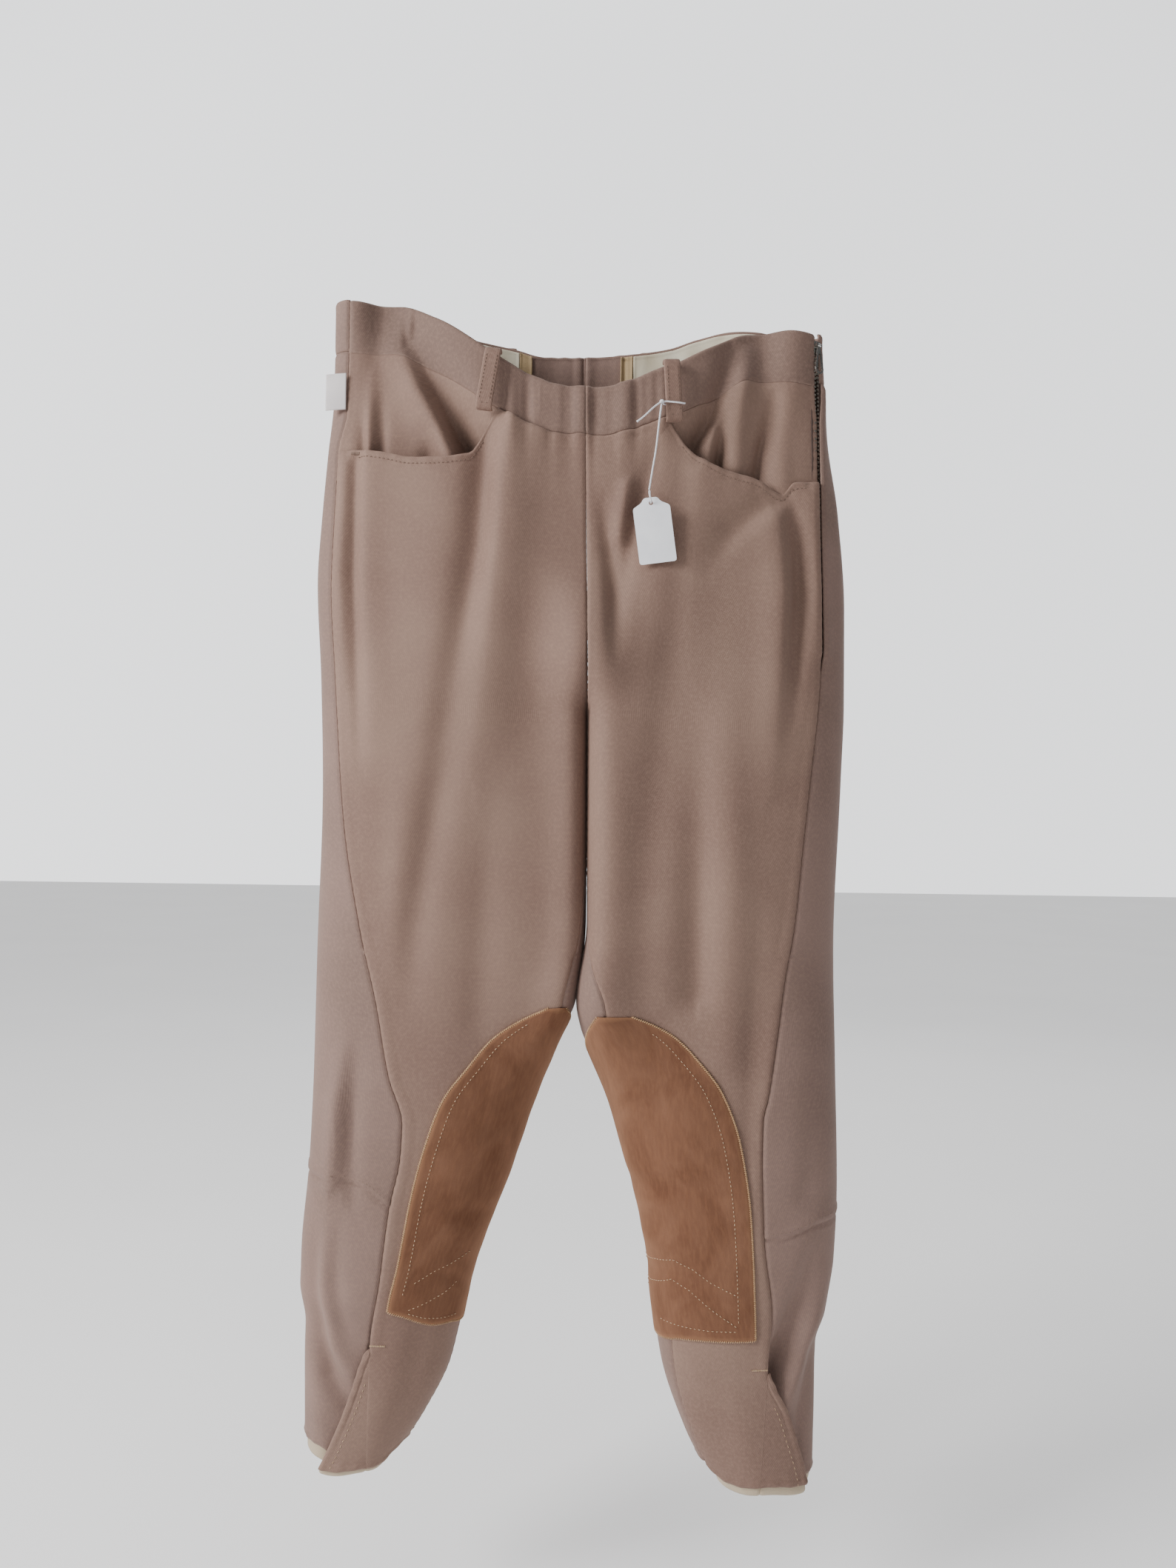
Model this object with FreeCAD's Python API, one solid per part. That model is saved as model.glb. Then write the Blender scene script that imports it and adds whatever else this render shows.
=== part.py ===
"""Riding breeches hanging by their waistband, with suede knee patches, a side zip and a strung price tag.

Millimetres. +Z is up, the wearer's front faces -Y and the wearer's left is +X. The origin is the middle
of the line between the two spots where the waistband is gripped. Each side of the garment is one flattened
tube: distances across are measured outwards from the centre plane, and a position round the tube is a
turn number, 0 at the outer edge, 1 at the front, 2 at the inner edge, 3 at the back and 4 outside again."""

import FreeCAD, Part
import math
import os

from FreeCAD import Vector

# Driving dimensions -----------------------------------------------------------------------------------

CLOTH = 2.0               # thickness of a cloth panel
LINING = 1.0              # thickness of linings, tapes and facings
SUEDE = 1.5               # thickness of a knee patch
SEAM_GAP = 0.4            # clearance where two panels meet at a seam
CROTCH_RELIEF = 0.9       # extra clearance where four seams meet
PATCH_LIFT = 0.5          # clearance under a knee patch
FULLNESS = 0.07           # 0 makes a section elliptical, more makes it fuller

CROTCH = -288.0
SEAT_END = -302.0         # lower edge of the seat's panels
THIGH_START = -380.0      # upper edge of the thigh's panels
THIGH_END = -543.0        # lower edge of the thigh's panels
SHIN_START = -655.0       # upper edge of the shin's panels
FRONT_HEM = {"right": -826.0, "left": -836.0}
BACK_HEM = {"right": -841.0, "left": -842.0}
SLIT_TOP = {"right": -731.0, "left": -745.0}
GRIP_SPOT = {"right": 144.0, "left": 128.0}   # where the waistband is gripped, across
GRIP_STRENGTH = 0.74      # share of the depth that the grip takes away
GRIP_REACH = 110.0        # how far below the waistband the grip still flattens the cloth

FRONT_DEPTH = [(20, 32), (-60, 36), (-100, 40), (-150, 42), (-200, 46), (-288, 50), (-400, 50),
               (-500, 48), (-600, 46), (-650, 44), (-700, 40), (-760, 34), (-850, 27)]
BACK_DEPTH = [(20, 20), (-60, 26), (-100, 32), (-200, 46), (-288, 50), (-400, 47), (-500, 41),
              (-600, 36), (-700, 37), (-760, 35), (-850, 30)]
CENTRE_LINE = [(20, 2), (-93, 3), (-274, 7), (-433, 8), (-850, 8)]

# Outer edge, inner edge (past the centre plane above the crotch) and front seams, as (height, across).
OUTER_EDGE = {
    "right": [(20, 180), (-60, 181), (-100, 184.5), (-150, 188), (-190, 190), (-265, 186.5), (-360, 184.7),
              (-440, 186), (-540, 188), (-615, 191), (-670, 195), (-720, 196), (-850, 195.5)],
    "left": [(20, 172), (-46, 175.5), (-81, 178), (-139, 187), (-210, 192.5), (-277, 193), (-334, 191),
             (-437, 187.6), (-531, 190.5), (-626, 192.3), (-670, 191), (-714, 186), (-850, 182)],
}
INNER_EDGE = {
    "right": [(20, -180), (-90, -180), (-150, -120), (-200, -72), (-250, -30), (-288, -6.8), (-433, -6.5),
              (-489, 0), (-514, 9.5), (-551, 23.5), (-617, 46), (-682, 69.5), (-735, 81), (-758, 87),
              (-790, 103), (-829, 126), (-850, 134)],
    "left": [(20, -175), (-90, -172), (-150, -115), (-200, -62), (-250, -16), (-288, 7.4), (-433, 9),
             (-489, 2.5), (-509, 5), (-532, 14), (-569, 28.5), (-621, 43.6), (-662, 55), (-716, 61),
             (-753, 67), (-800, 84), (-842, 104), (-850, 107)],
}
SIDE_SEAM = {
    "right": [(20, 168), (-72, 169), (-101, 175), (-192, 176.5), (-266, 171.5), (-367, 163), (-438, 150),
              (-490, 137), (-541, 127), (-573, 117.3), (-596, 118.3), (-632, 125.5), (-683, 132),
              (-731, 139), (-850, 143)],
    "left": [(20, 169), (-242, 171), (-272, 169.4), (-312, 165.4), (-367, 160), (-434, 153.4),
             (-470, 147), (-511, 142), (-551, 136.4), (-568, 133), (-591, 132.6), (-651, 134.8),
             (-707, 141.8), (-745, 140), (-850, 141)],
}
SLIT_EDGE = {   # front edge of the open cuff slit
    "right": [(-731, 139), (-740, 144), (-765, 152.4), (-785, 159.5), (-803, 167), (-826, 177.5)],
    "left": [(-745, 140), (-761, 147), (-776, 155), (-800, 163), (-820, 169), (-836, 172)],
}
INSEAM_TURN = {
    "right": [(-288, 2), (-380, 1.93), (-438, 1.8), (-488, 1.7), (-550, 1.72), (-655, 1.8), (-745, 1.93),
              (-850, 1.95)],
    "left": [(-288, 2), (-380, 1.95), (-441, 1.87), (-492, 1.55), (-655, 1.58), (-761, 1.65), (-850, 1.75)],
}

# Edges across the front and back, as (across, height).
FRONT_TOP = {
    "right": [(-14, -58.5), (0, -58.2), (14, -57.4), (39, -48.7), (61, -35.6), (72, -28), (105, -6.4),
              (133, 6.4), (166, 8.4), (182, 10)],
    "left": [(-14, -57.4), (0, -58.2), (13.5, -58.5), (31, -54.2), (53, -44.7), (66, -39.7), (90, -26.3),
             (119, -11.1), (137, -9.4), (178, -11.5)],
}
BACK_TOP = {
    "right": [(-32, -16.5), (3.5, -18.3), (29, -18.5), (50, -13.4), (82, -7.3), (103, -2.6), (144, 8),
              (182, 10)],
    "left": [(-30, -18.6), (-3.5, -18.3), (32, -16), (64, -11.7), (85, -5.9), (106, -3), (138, -5.5),
             (178, -9)],
}
BAND_BOTTOM_DROP = {"front": [(0, 34), (60, 37), (180, 38)], "back": [(0, 36), (180, 37)]}
POCKET_MOUTH = {   # upper edge of the front panel outwards from the pocket's inner end
    "right": [(60, -75), (64, -82), (72, -97.5), (78, -105.8), (100, -109.2), (119, -108.9),
              (139, -104.8), (162, -101.5), (182, -101)],
    "left": [(61, -81), (66, -88.5), (73, -99.5), (81.4, -106.9), (101.5, -116.1), (123, -121), (143, -129.5),
             (151.5, -121.2), (166, -119.9), (182, -119)],
}
POCKET_START = {"right": 60.0, "left": 61.0}

PATCH_FRONT_EDGE = {   # suede knee patch, from its top corner down
    "right": [(-491.5, 17), (-503.4, 41), (-515, 56.8), (-532, 71.2), (-556, 89.2), (-585, 100),
              (-621, 109.6), (-671, 119), (-705, 126.4), (-725, 128)],
    "left": [(-495.5, 40), (-501, 54), (-510, 70.3), (-523, 84), (-549, 103.8), (-584, 116.6),
             (-631, 124.2), (-697, 128.7), (-722, 129.8), (-735, 130)],
}
PATCH_BACK_TURN = {
    "right": [(-491.5, 1.74), (-506, 2.0), (-530, 2.3), (-570, 2.58), (-640, 2.7), (-735, 2.72)],
    "left": [(-495.5, 1.62), (-531, 2.0), (-555, 2.3), (-590, 2.55), (-650, 2.68), (-740, 2.7)],
}
PATCH_TOP = {"right": -491.5, "left": -495.5}
PATCH_BOTTOM = {   # (across, height)
    "right": [(50, -724), (78, -723), (84.5, -719), (95.4, -717.8), (105.7, -713.8), (114.5, -709.2),
              (127, -704.7)],
    "left": [(50, -732), (64.5, -731), (80, -725.8), (105, -723.5), (131, -721.8)],
}

ZIP_TOP = Vector(167.8, -6.5, -15.0)
ZIP_LOWER_END = Vector(169.4, -29.5, -243.0)
ZIP_OPENING = 9.0         # panels keep this far from the zip's line on both sides
ZIP_LENGTH = 228.0
ZIP_FACING = Vector(0.57, -0.8, 0)    # rough outward direction of the zip
TAPE_EDGES = (2.6, 5.2)   # a zip tape's two edges, from the zip's line
TOOTH_PITCH = 3.0

LOOP_WIDTH = 11.0
LOOP_HEIGHT = 44.0
LOOP_ROOM = 7.0           # clear space between a belt loop and the waistband
LOOP_STRIP = 1.6
LOOP_LIFT = 0.3           # keeps the strip's ends clear of the curved waistband

TAG_SIZE = (26.0, 45.5, 0.6)
TAG_TILT = 8.0
TAG_TOP = Vector(47.8, -51.6, -139.4)
TAG_HOLE_DROP = 4.0
TAG_HOLE_RADIUS = 1.6
KNOT = Vector(55.2, -46.6, -72.0)
RING_CENTRE = Vector(63.9, -43.2, -72.0)   # middle of the string's ring round the belt loop
STRING = 1.2              # diameter of the tag's string
END_LOOP = 4.2            # radius of the string's loop through the tag's hole
STRING_ROUTE = [(55.0, -47.0, -74.1), (53.1, -49.0, -89.0), (51.7, -50.5, -105.0), (49.2, -51.5, -120.0),
                (47.1, -51.7, -134.3)]

LINING_END = 150.0        # how far across the waistband's lining reaches
ELASTIC_END = 62.0        # how far across the front elastic reaches
TAB_START = {"right": 38.0, "left": 28.0}    # inner edge of the tape over the back elastic's end
TAB_WIDTH = 9.0

POCKET_IN, POCKET_OUT = 68.0, 160.0     # how far across the pocket bags reach
POCKET_FLOOR = -232.0
BAG_INSET = CLOTH + SEAM_GAP
BAG_DEPTH = 14.0          # room inside a pocket bag
BAG_WALL = 1.2
FACING_INSET = 12.6       # how far behind the mouth the pocket's facing sits

FLAP_FOLD = {"right": (139.0, 142.0), "left": (140.0, 136.0)}   # across, at the slit's top and at the hem
TUCK = 4.6                # how deep the calf panel sits under the cuff flap
TUCK_WIDTH = 12.0         # how far the calf panel reaches in under the flap
STRIP_ABOVE_HEM = 14.0    # the cuff tapes stop this far above the hem
STRIP_BELOW_SLIT = 40.0   # and this far below the slit's top
FACING_HEIGHT = 18.0      # the hem facings reach this far up inside the leg

LABEL_FOLD = Vector(-168.6, -16.0, -58.0)
LABEL_SIZE = (15.5, 0.7, 27.0)

PULL_BAR = (3.4, 3.6)     # along and outwards from the zip's top
BAR_RADIUS = 0.55
PULL_EYE = 1.4
PULL_LENGTH = 22.0
RING_DEPTH = 2.6          # half the depth of the string's ring round the belt loop

SIDES = {"right": -1, "left": 1}
os.makedirs("parts", exist_ok=True)


# Curves and the cloth's shape ---------------------------------------------------------------------------

def smooth_curve(points):
    """A function through (x, y) points that bends smoothly and never overshoots between them."""
    knots = sorted(points)
    xs = [x for x, _ in knots]
    ys = [y for _, y in knots]
    steps = [(ys[i + 1] - ys[i]) / (xs[i + 1] - xs[i]) for i in range(len(xs) - 1)]
    slopes = [steps[0]]
    for before, after in zip(steps, steps[1:]):
        slopes.append(0.0 if before * after <= 0 else 2 * before * after / (before + after))
    slopes.append(steps[-1])

    def value(x):
        x = min(max(x, xs[0]), xs[-1])
        i = max(k for k in range(len(xs) - 1) if xs[k] <= x)
        width = xs[i + 1] - xs[i]
        s = (x - xs[i]) / width
        rise = ys[i + 1] - ys[i]
        bend = (slopes[i] * width - rise) * (1 - s) + (rise - slopes[i + 1] * width) * s
        return ys[i] + s * rise + s * (1 - s) * bend

    return value


def ease(x):
    """0 below 0, 1 above 1, and a smooth step between."""
    x = min(max(x, 0.0), 1.0)
    return x * x * (3 - 2 * x)


def fuller(share):
    """Turns the sine or cosine of an ellipse's angle into that of a slightly squarer, fuller section."""
    return share * (1 + FULLNESS * (1 - share * share))


front_depth = smooth_curve(FRONT_DEPTH)
back_depth = smooth_curve(BACK_DEPTH)
centre_line = smooth_curve(CENTRE_LINE)


class Side:
    """One side of the breeches: the flattened tube of its cloth and the seams on it."""

    def __init__(self, name):
        self.name = name
        self.sign = SIDES[name]
        self.outer = smooth_curve(OUTER_EDGE[name])
        self.inner = smooth_curve(INNER_EDGE[name])
        self.seam_across = smooth_curve(SIDE_SEAM[name])
        self.slit_across = smooth_curve(SLIT_EDGE[name])
        self.inseam_turn = smooth_curve(INSEAM_TURN[name])
        self.front_top = smooth_curve(FRONT_TOP[name])
        self.back_top = smooth_curve(BACK_TOP[name])
        self.mouth = smooth_curve(POCKET_MOUTH[name])
        self.patch_edge = smooth_curve(PATCH_FRONT_EDGE[name])
        self.patch_back = smooth_curve(PATCH_BACK_TURN[name])
        self.patch_bottom = smooth_curve(PATCH_BOTTOM[name])
        self.front_drop = smooth_curve(BAND_BOTTOM_DROP["front"])
        self.back_drop = smooth_curve(BAND_BOTTOM_DROP["back"])

    def skin(self, turn, z):
        """The point of the cloth's outer face at that turn and height."""
        outer, inner = self.outer(z), self.inner(z)
        middle = (outer + inner) / 2
        cosine = math.cos(turn * math.pi / 2)
        sine = math.sin(turn * math.pi / 2)
        across = middle + (outer - middle) * fuller(cosine)
        depth = -fuller(sine) * (front_depth(z) if sine > 0 else back_depth(z))
        depth *= self.flattening(across, z)
        return Vector(self.sign * across, depth, z)

    def flattening(self, across, z):
        """How much of the depth is left near the spot where the waistband is gripped."""
        off = across - GRIP_SPOT[self.name]
        reach = 35.0 if off < 0 else 16.0
        below = ease((10 - z) / GRIP_REACH)
        return 1 - GRIP_STRENGTH * math.exp(-((off / reach) ** 2)) * (1 - below)

    def outward(self, turn, z):
        """Unit normal of the cloth's outer face."""
        small_turn, small_height = 0.004, 0.5
        along = self.skin(turn + small_turn, z) - self.skin(turn - small_turn, z)
        up = self.skin(turn, z + small_height) - self.skin(turn, z - small_height)
        normal = along.cross(up) * -self.sign
        return normal.normalize()

    def face(self, turn, z, inset):
        """A point that lies inset millimetres inside the cloth's outer face."""
        return self.skin(turn, z) - self.outward(turn, z) * inset

    def turn_at(self, across, z):
        """The front turn, 0 to 2, at that distance across."""
        outer, inner = self.outer(z), self.inner(z)
        middle = (outer + inner) / 2
        share = min(max((across - middle) / (outer - middle), -1.0), 1.0)
        cosine = share
        for _ in range(12):
            cosine = share / (1 + FULLNESS * (1 - cosine * cosine))
        return math.acos(min(max(cosine, -1.0), 1.0)) * 2 / math.pi

    def moved(self, turn, z, distance):
        """The turn that lies that many millimetres further round the tube."""
        step = 0.004
        speed = (self.skin(turn + step, z) - self.skin(turn - step, z)).Length / (2 * step)
        return turn + distance / max(speed, 20.0)

    def side_turn(self, z):
        return self.turn_at(self.seam_across(z), z)

    def seam_opening(self, z):
        """Half the gap at the side seam: wide along the zip on the left, and a stitch elsewhere."""
        if self.name == "right":
            return SEAM_GAP / 2
        return SEAM_GAP / 2 + (ZIP_OPENING - SEAM_GAP / 2) * ease((z - ZIP_LOWER_END.z + 16) / 12)

    def front_start(self, z):
        """Where the front panels begin, just inside the side seam."""
        return self.moved(self.side_turn(z), z, self.seam_opening(z))

    def back_end(self, z):
        """Where the back panels end, just outside the side seam."""
        return 4 + self.moved(self.side_turn(z), z, -self.seam_opening(z))

    def front_end(self, z):
        """The front's inner limit: the centre seam above the crotch and the inseam below it."""
        return self.moved(min(self.centre_turn(z), self.inseam_turn(z)), z, -self.inner_opening(z))

    def back_start(self, z):
        """The back's inner limit: the centre seam above the crotch and the inseam below it."""
        centre = self.centre_turn(z)
        limit = self.inseam_turn(z) if centre >= 2 else 4 - centre
        return self.moved(limit, z, self.inner_opening(z))

    def inner_opening(self, z):
        """Half the gap at the centre seam and inseam, a little wider where four seams meet at the crotch."""
        return SEAM_GAP / 2 + CROTCH_RELIEF * math.exp(-((z - CROTCH) / 28) ** 2)

    def centre_turn(self, z):
        """The front turn at which the tube meets the centre plane, or 2 on the legs, which stop short of it."""
        edge = self.sign * centre_line(z) + SEAM_GAP / 2
        return 2.0 if z < CROTCH or edge <= self.inner(z) else self.turn_at(edge, z)

    def band_bottom(self, across, back=False):
        """Lower edge of the waistband."""
        if back:
            return self.back_top(across) - self.back_drop(abs(across))
        return self.front_top(across) - self.front_drop(abs(across))

    def panel_top(self, across):
        """Upper edge of the front panel: the waistband's lower edge, and outwards the pocket's mouth."""
        if across < POCKET_START[self.name]:
            return self.band_bottom(across) - SEAM_GAP
        return self.mouth(across)

    def mouth_line(self, across):
        """The pocket's mouth, also inwards of its inner end."""
        return self.mouth(max(across, POCKET_START[self.name] + 12))

    def at_across(self, across):
        """A limit for a panel: the front turn at a fixed distance across."""
        return lambda z: self.turn_at(across, z)


RIGHT = Side("right")
LEFT = Side("left")


# Solids from the cloth's shape --------------------------------------------------------------------------

def limit(edge, side, across):
    """The height of a panel's edge: a number, or a function of the side and the distance across."""
    return edge(side, across) if callable(edge) else edge


def grid(stretches, bottom, top, inset, rows, columns):
    """Rows of points on the cloth. A stretch is (side, first turn, last turn), turns being functions of z."""
    points = []
    for row in range(rows + 1):
        up = row / rows
        line = []
        for number, (side, first, last) in enumerate(stretches):
            for column in range(1 if number else 0, columns + 1):
                share = column / columns
                line.append(place(side, first, last, share, bottom, top, inset, up))
        points.append(line)
    return points


def place(side, first, last, share, bottom, top, inset, up):
    """One point of a panel: share of the way across it and up of the way from its bottom to its top."""
    ends = []
    for edge in (bottom, top):
        z = limit(edge, side, GRIP_SPOT[side.name])
        for _ in range(8):
            turn = first(z) + share * (last(z) - first(z))
            across = side.sign * side.skin(turn, z).x
            z = limit(edge, side, across)
        ends.append(z)
    z = ends[0] + up * (ends[1] - ends[0])
    turn = first(z) + share * (last(z) - first(z))
    return side.face(turn, z, inset(turn, z) if callable(inset) else inset)


def surface_through(points):
    surface = Part.BSplineSurface()
    surface.interpolate(points)
    return surface


def solid_between(outer_points, inner_points):
    """The closed solid between two facing grids of points."""
    outer, inner = surface_through(outer_points), surface_through(inner_points)
    faces = [outer.toShape(), inner.toShape()]
    u0, u1, v0, v1 = outer.bounds()
    a0, a1, b0, b1 = inner.bounds()
    pairs = [(outer.uIso(u0), inner.uIso(a0)), (outer.uIso(u1), inner.uIso(a1)),
             (outer.vIso(v0), inner.vIso(b0)), (outer.vIso(v1), inner.vIso(b1))]
    for one, other in pairs:
        wires = [Part.Wire(one.toShape()), Part.Wire(other.toShape())]
        faces.append(Part.makeLoft(wires, False, True).Faces[0])
    return closed_solid(faces)


def closed_solid(faces):
    shape = Part.makeCompound(faces)
    shape.sewShape(0.01)
    solid = Part.Solid(shape.Shells[0])
    if solid.Volume < 0:
        solid.reverse()
    return solid


def panel(stretches, bottom, top, inset=0.0, thickness=CLOTH, rows=10, columns=12):
    """A sheet that follows the cloth's shape, with its outer face inset millimetres inside the skin."""
    def deeper(turn, z):
        return (inset(turn, z) if callable(inset) else inset) + thickness

    outer = grid(stretches, bottom, top, inset, rows, columns)
    inner = grid(stretches, bottom, top, deeper, rows, columns)
    return solid_between(outer, inner)


def frame_box(origin, axes, low, high):
    """A box between two corners given along three perpendicular axes from origin."""
    sizes = [h - l for l, h in zip(low, high)]
    box = Part.makeBox(*sizes)
    corner = origin + axes[0] * low[0] + axes[1] * low[1] + axes[2] * low[2]
    turn = FreeCAD.Rotation(axes[0], axes[1], axes[2], "XYZ")
    box.Placement = FreeCAD.Placement(corner, turn)
    return box


def frame_prism(origin, axes, outline, low, high):
    """Extrudes an outline, drawn along the first two axes, from low to high along the third."""
    lifted = [origin + axes[0] * a + axes[1] * b + axes[2] * low for a, b in outline]
    face = Part.Face(Part.makePolygon(lifted + lifted[:1]))
    return face.extrude(axes[2] * (high - low))


def save(name, *solids):
    shape = solids[0] if len(solids) == 1 else Part.makeCompound(list(solids))
    if not shape.isValid():
        print("not valid:", name)
    shape.exportStep("parts/" + name + ".step")
    print(f"{name:28s} solids {len(shape.Solids):3d}  volume {shape.Volume:9.1f}")


# Waist ------------------------------------------------------------------------------------------------

def back_turn(side, across):
    """A limit for a panel: the back turn at a fixed distance across."""
    return lambda z: 4 - side.turn_at(across, z)


def lowered(edge, distance):
    return lambda side, across: edge(side, across) - distance


def back_bottom(side, across):
    return side.band_bottom(across, back=True)


def front_top(side, across):
    return side.front_top(across)


def back_top(side, across):
    return side.back_top(across)


def make_waistband():
    front = [(RIGHT, RIGHT.front_start, RIGHT.centre_turn), (LEFT, LEFT.centre_turn, LEFT.front_start)]
    save("front_waistband", panel(front, Side.band_bottom, front_top, columns=28, rows=6))
    elastic = [(RIGHT, RIGHT.at_across(ELASTIC_END), RIGHT.centre_turn),
               (LEFT, LEFT.centre_turn, LEFT.at_across(ELASTIC_END))]
    low, high = lowered(Side.band_bottom, -5), lowered(front_top, 5)
    save("front_waist_elastic", panel(elastic, low, high, CLOTH + SEAM_GAP, LINING, columns=10, rows=4))
    tabs = []
    for side in (RIGHT, LEFT):
        tab = TAB_START[side.name]
        back = [(side, side.back_start, side.back_end)]
        save(f"{side.name}_back_waistband", panel(back, back_bottom, back_top, columns=30, rows=6))
        low, high = lowered(back_bottom, -1), lowered(back_top, 1.5)
        lining = [(side, back_turn(side, tab + TAB_WIDTH + 1), back_turn(side, LINING_END))]
        save(f"{side.name}_waistband_lining",
             panel(lining, low, high, CLOTH + SEAM_GAP, LINING, columns=24, rows=6))
        strip = [(side, back_turn(side, tab), back_turn(side, tab + TAB_WIDTH))]
        tabs.append(panel(strip, low, high, CLOTH + SEAM_GAP, LINING, columns=4, rows=4))
    save("elastic_end_tabs", *tabs)


# Seat and pockets --------------------------------------------------------------------------------------

def make_seat(side):
    front = [(side, side.front_start, side.front_end)]
    back = [(side, side.back_start, side.back_end)]
    save(f"{side.name}_front_panel", panel(front, SEAT_END, Side.panel_top, columns=28, rows=30))
    save(f"{side.name}_back_panel",
         panel(back, SEAT_END, lowered(back_bottom, 2 * SEAM_GAP), columns=30, rows=34))


def make_pocket(side):
    reach = (lambda z: side.moved(side.front_start(z), z, 2), side.at_across(POCKET_START[side.name] - 8))

    def facing_inset(turn, z):
        across = side.sign * side.skin(turn, z).x
        top = side.band_bottom(across)
        return BAG_INSET + (FACING_INSET - BAG_INSET) * ease((top - z) / 48.0)

    facing = panel([(side, *reach)], lowered(Side.mouth_line, 22), lowered(Side.band_bottom, SEAM_GAP),
                   facing_inset, LINING, columns=14, rows=10)
    save(f"{side.name}_pocket_facing", facing)
    wall = BAG_WALL
    limits = [(side, side.at_across(POCKET_OUT), side.at_across(POCKET_IN))]
    room_limits = [(side, side.at_across(POCKET_OUT - wall), side.at_across(POCKET_IN + wall))]
    bag = panel(limits, POCKET_FLOOR, lowered(Side.mouth_line, 24), BAG_INSET, BAG_DEPTH + 2 * wall, rows=8)
    room = panel(room_limits, POCKET_FLOOR + wall, lowered(Side.mouth_line, 10), BAG_INSET + wall, BAG_DEPTH,
                 rows=8)
    save(f"{side.name}_pocket_bag", bag.cut(room))


# Legs --------------------------------------------------------------------------------------------------

def fold_limit(side, distance):
    """The line that the cuff flap peels back along, moved round the leg by a distance."""
    high, low = FLAP_FOLD[side.name]
    line = smooth_curve([(SLIT_TOP[side.name], high), (FRONT_HEM[side.name], low)])
    return lambda z: side.moved(side.turn_at(line(z), z), z, distance)


def slit_limit(side, distance):
    return lambda z: side.moved(side.turn_at(side.slit_across(z), z), z, distance)


def calf_end(side):
    """The back panel's front limit: the side seam, then in under the flap below the slit's top."""
    def value(z):
        if z > SLIT_TOP[side.name]:
            return side.back_end(z)
        under = ease((SLIT_TOP[side.name] - z) / 20) * TUCK_WIDTH
        return 4 + slit_limit(side, under)(z)
    return value


def calf_inset(side):
    """The calf panel dips in towards the slit."""
    def value(turn, z):
        near_slit = ease((turn - 3.55) / 0.5)
        return TUCK * near_slit * ease((SLIT_TOP[side.name] + 34 - z) / 30)
    return value


def make_fold(side, name, low, high, with_patch=False):
    """The stretch of a leg that bends: its front, its back and any suede on it."""
    low, high = low + SEAM_GAP, high - SEAM_GAP
    parts = [panel([(side, side.front_start, side.front_end)], low, high, rows=8, columns=18),
             panel([(side, side.back_start, side.back_end)], low, high, rows=8, columns=28)]
    if with_patch:
        parts.append(panel([patch_stretch(side)], low, high, -SUEDE - PATCH_LIFT, SUEDE, rows=10))
    save(name, *parts)


def patch_stretch(side):
    return (side, lambda z: side.turn_at(side.patch_edge(z), z), side.patch_back)


def make_leg(side):
    name = side.name
    front = [(side, side.front_start, side.front_end)]
    back = [(side, side.back_start, side.back_end)]
    make_fold(side, f"{name}_hip_fold", THIGH_START, SEAT_END)
    save(f"{name}_front_thigh", panel(front, THIGH_END, THIGH_START, rows=26, columns=20))
    save(f"{name}_back_thigh", panel(back, THIGH_END, THIGH_START, rows=30, columns=28))
    outside = -SUEDE - PATCH_LIFT
    save(f"{name}_knee_patch_upper",
         panel([patch_stretch(side)], THIGH_END, PATCH_TOP[name], outside, SUEDE, rows=12))
    make_fold(side, f"{name}_knee_fold", SHIN_START, THIGH_END, with_patch=True)
    save(f"{name}_knee_patch_lower",
         panel([patch_stretch(side)], lambda s, across: s.patch_bottom(across), SHIN_START, outside, SUEDE))
    make_shin(side, front, back)


def make_shin(side, front, back):
    name, slit, hem = side.name, SLIT_TOP[side.name], FRONT_HEM[side.name]
    above = panel(front, slit, SHIN_START, rows=8, columns=16)
    cuff = [(side, fold_limit(side, SEAM_GAP / 2), side.front_end)]
    below = panel(cuff, hem, slit - 0.02, rows=8, columns=14)
    save(f"{name}_front_shin", above, below)
    calf = [(side, side.back_start, calf_end(side))]
    save(f"{name}_calf_panel", panel(calf, BACK_HEM[name], SHIN_START, calf_inset(side), rows=26, columns=34))
    flap_limits = [(side, slit_limit(side, 0), fold_limit(side, -SEAM_GAP / 2))]
    save(f"{name}_cuff_flap", panel(flap_limits, hem, slit - 4, rows=8, columns=6))
    low, high = hem + STRIP_ABOVE_HEM, slit - STRIP_BELOW_SLIT
    hooks = [(side, slit_limit(side, 1.5), slit_limit(side, 9.5))]
    save(f"{name}_hook_tape", panel(hooks, low, high, CLOTH + 0.1, LINING, rows=5, columns=4))
    loops = [(side, lambda z: 4 + slit_limit(side, 1.0)(z), lambda z: 4 + slit_limit(side, 9.0)(z))]

    def under_flap(turn, z):
        return calf_inset(side)(turn, z) - LINING - 0.1

    save(f"{name}_loop_tape", panel(loops, low, high, under_flap, LINING, rows=5, columns=4))
    strip = [(side, fold_limit(side, 2.0), lambda z: side.moved(side.front_end(z), z, -4))]
    facing = panel(strip, hem - 5, hem + FACING_HEIGHT, CLOTH + SEAM_GAP, LINING, rows=4, columns=10)
    save(f"{name}_hem_facing", facing)
    calf_strip = [(side, lambda z: side.moved(side.back_start(z), z, 4),
                   lambda z: side.moved(calf_end(side)(z), z, -3))]

    def behind_calf(turn, z):
        return calf_inset(side)(turn, z) + CLOTH + SEAM_GAP

    low, high = BACK_HEM[name] - 6, BACK_HEM[name] + FACING_HEIGHT
    save(f"{name}_calf_hem_facing", panel(calf_strip, low, high, behind_calf, LINING, rows=5, columns=32))


# Belt loops and label ----------------------------------------------------------------------------------

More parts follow.
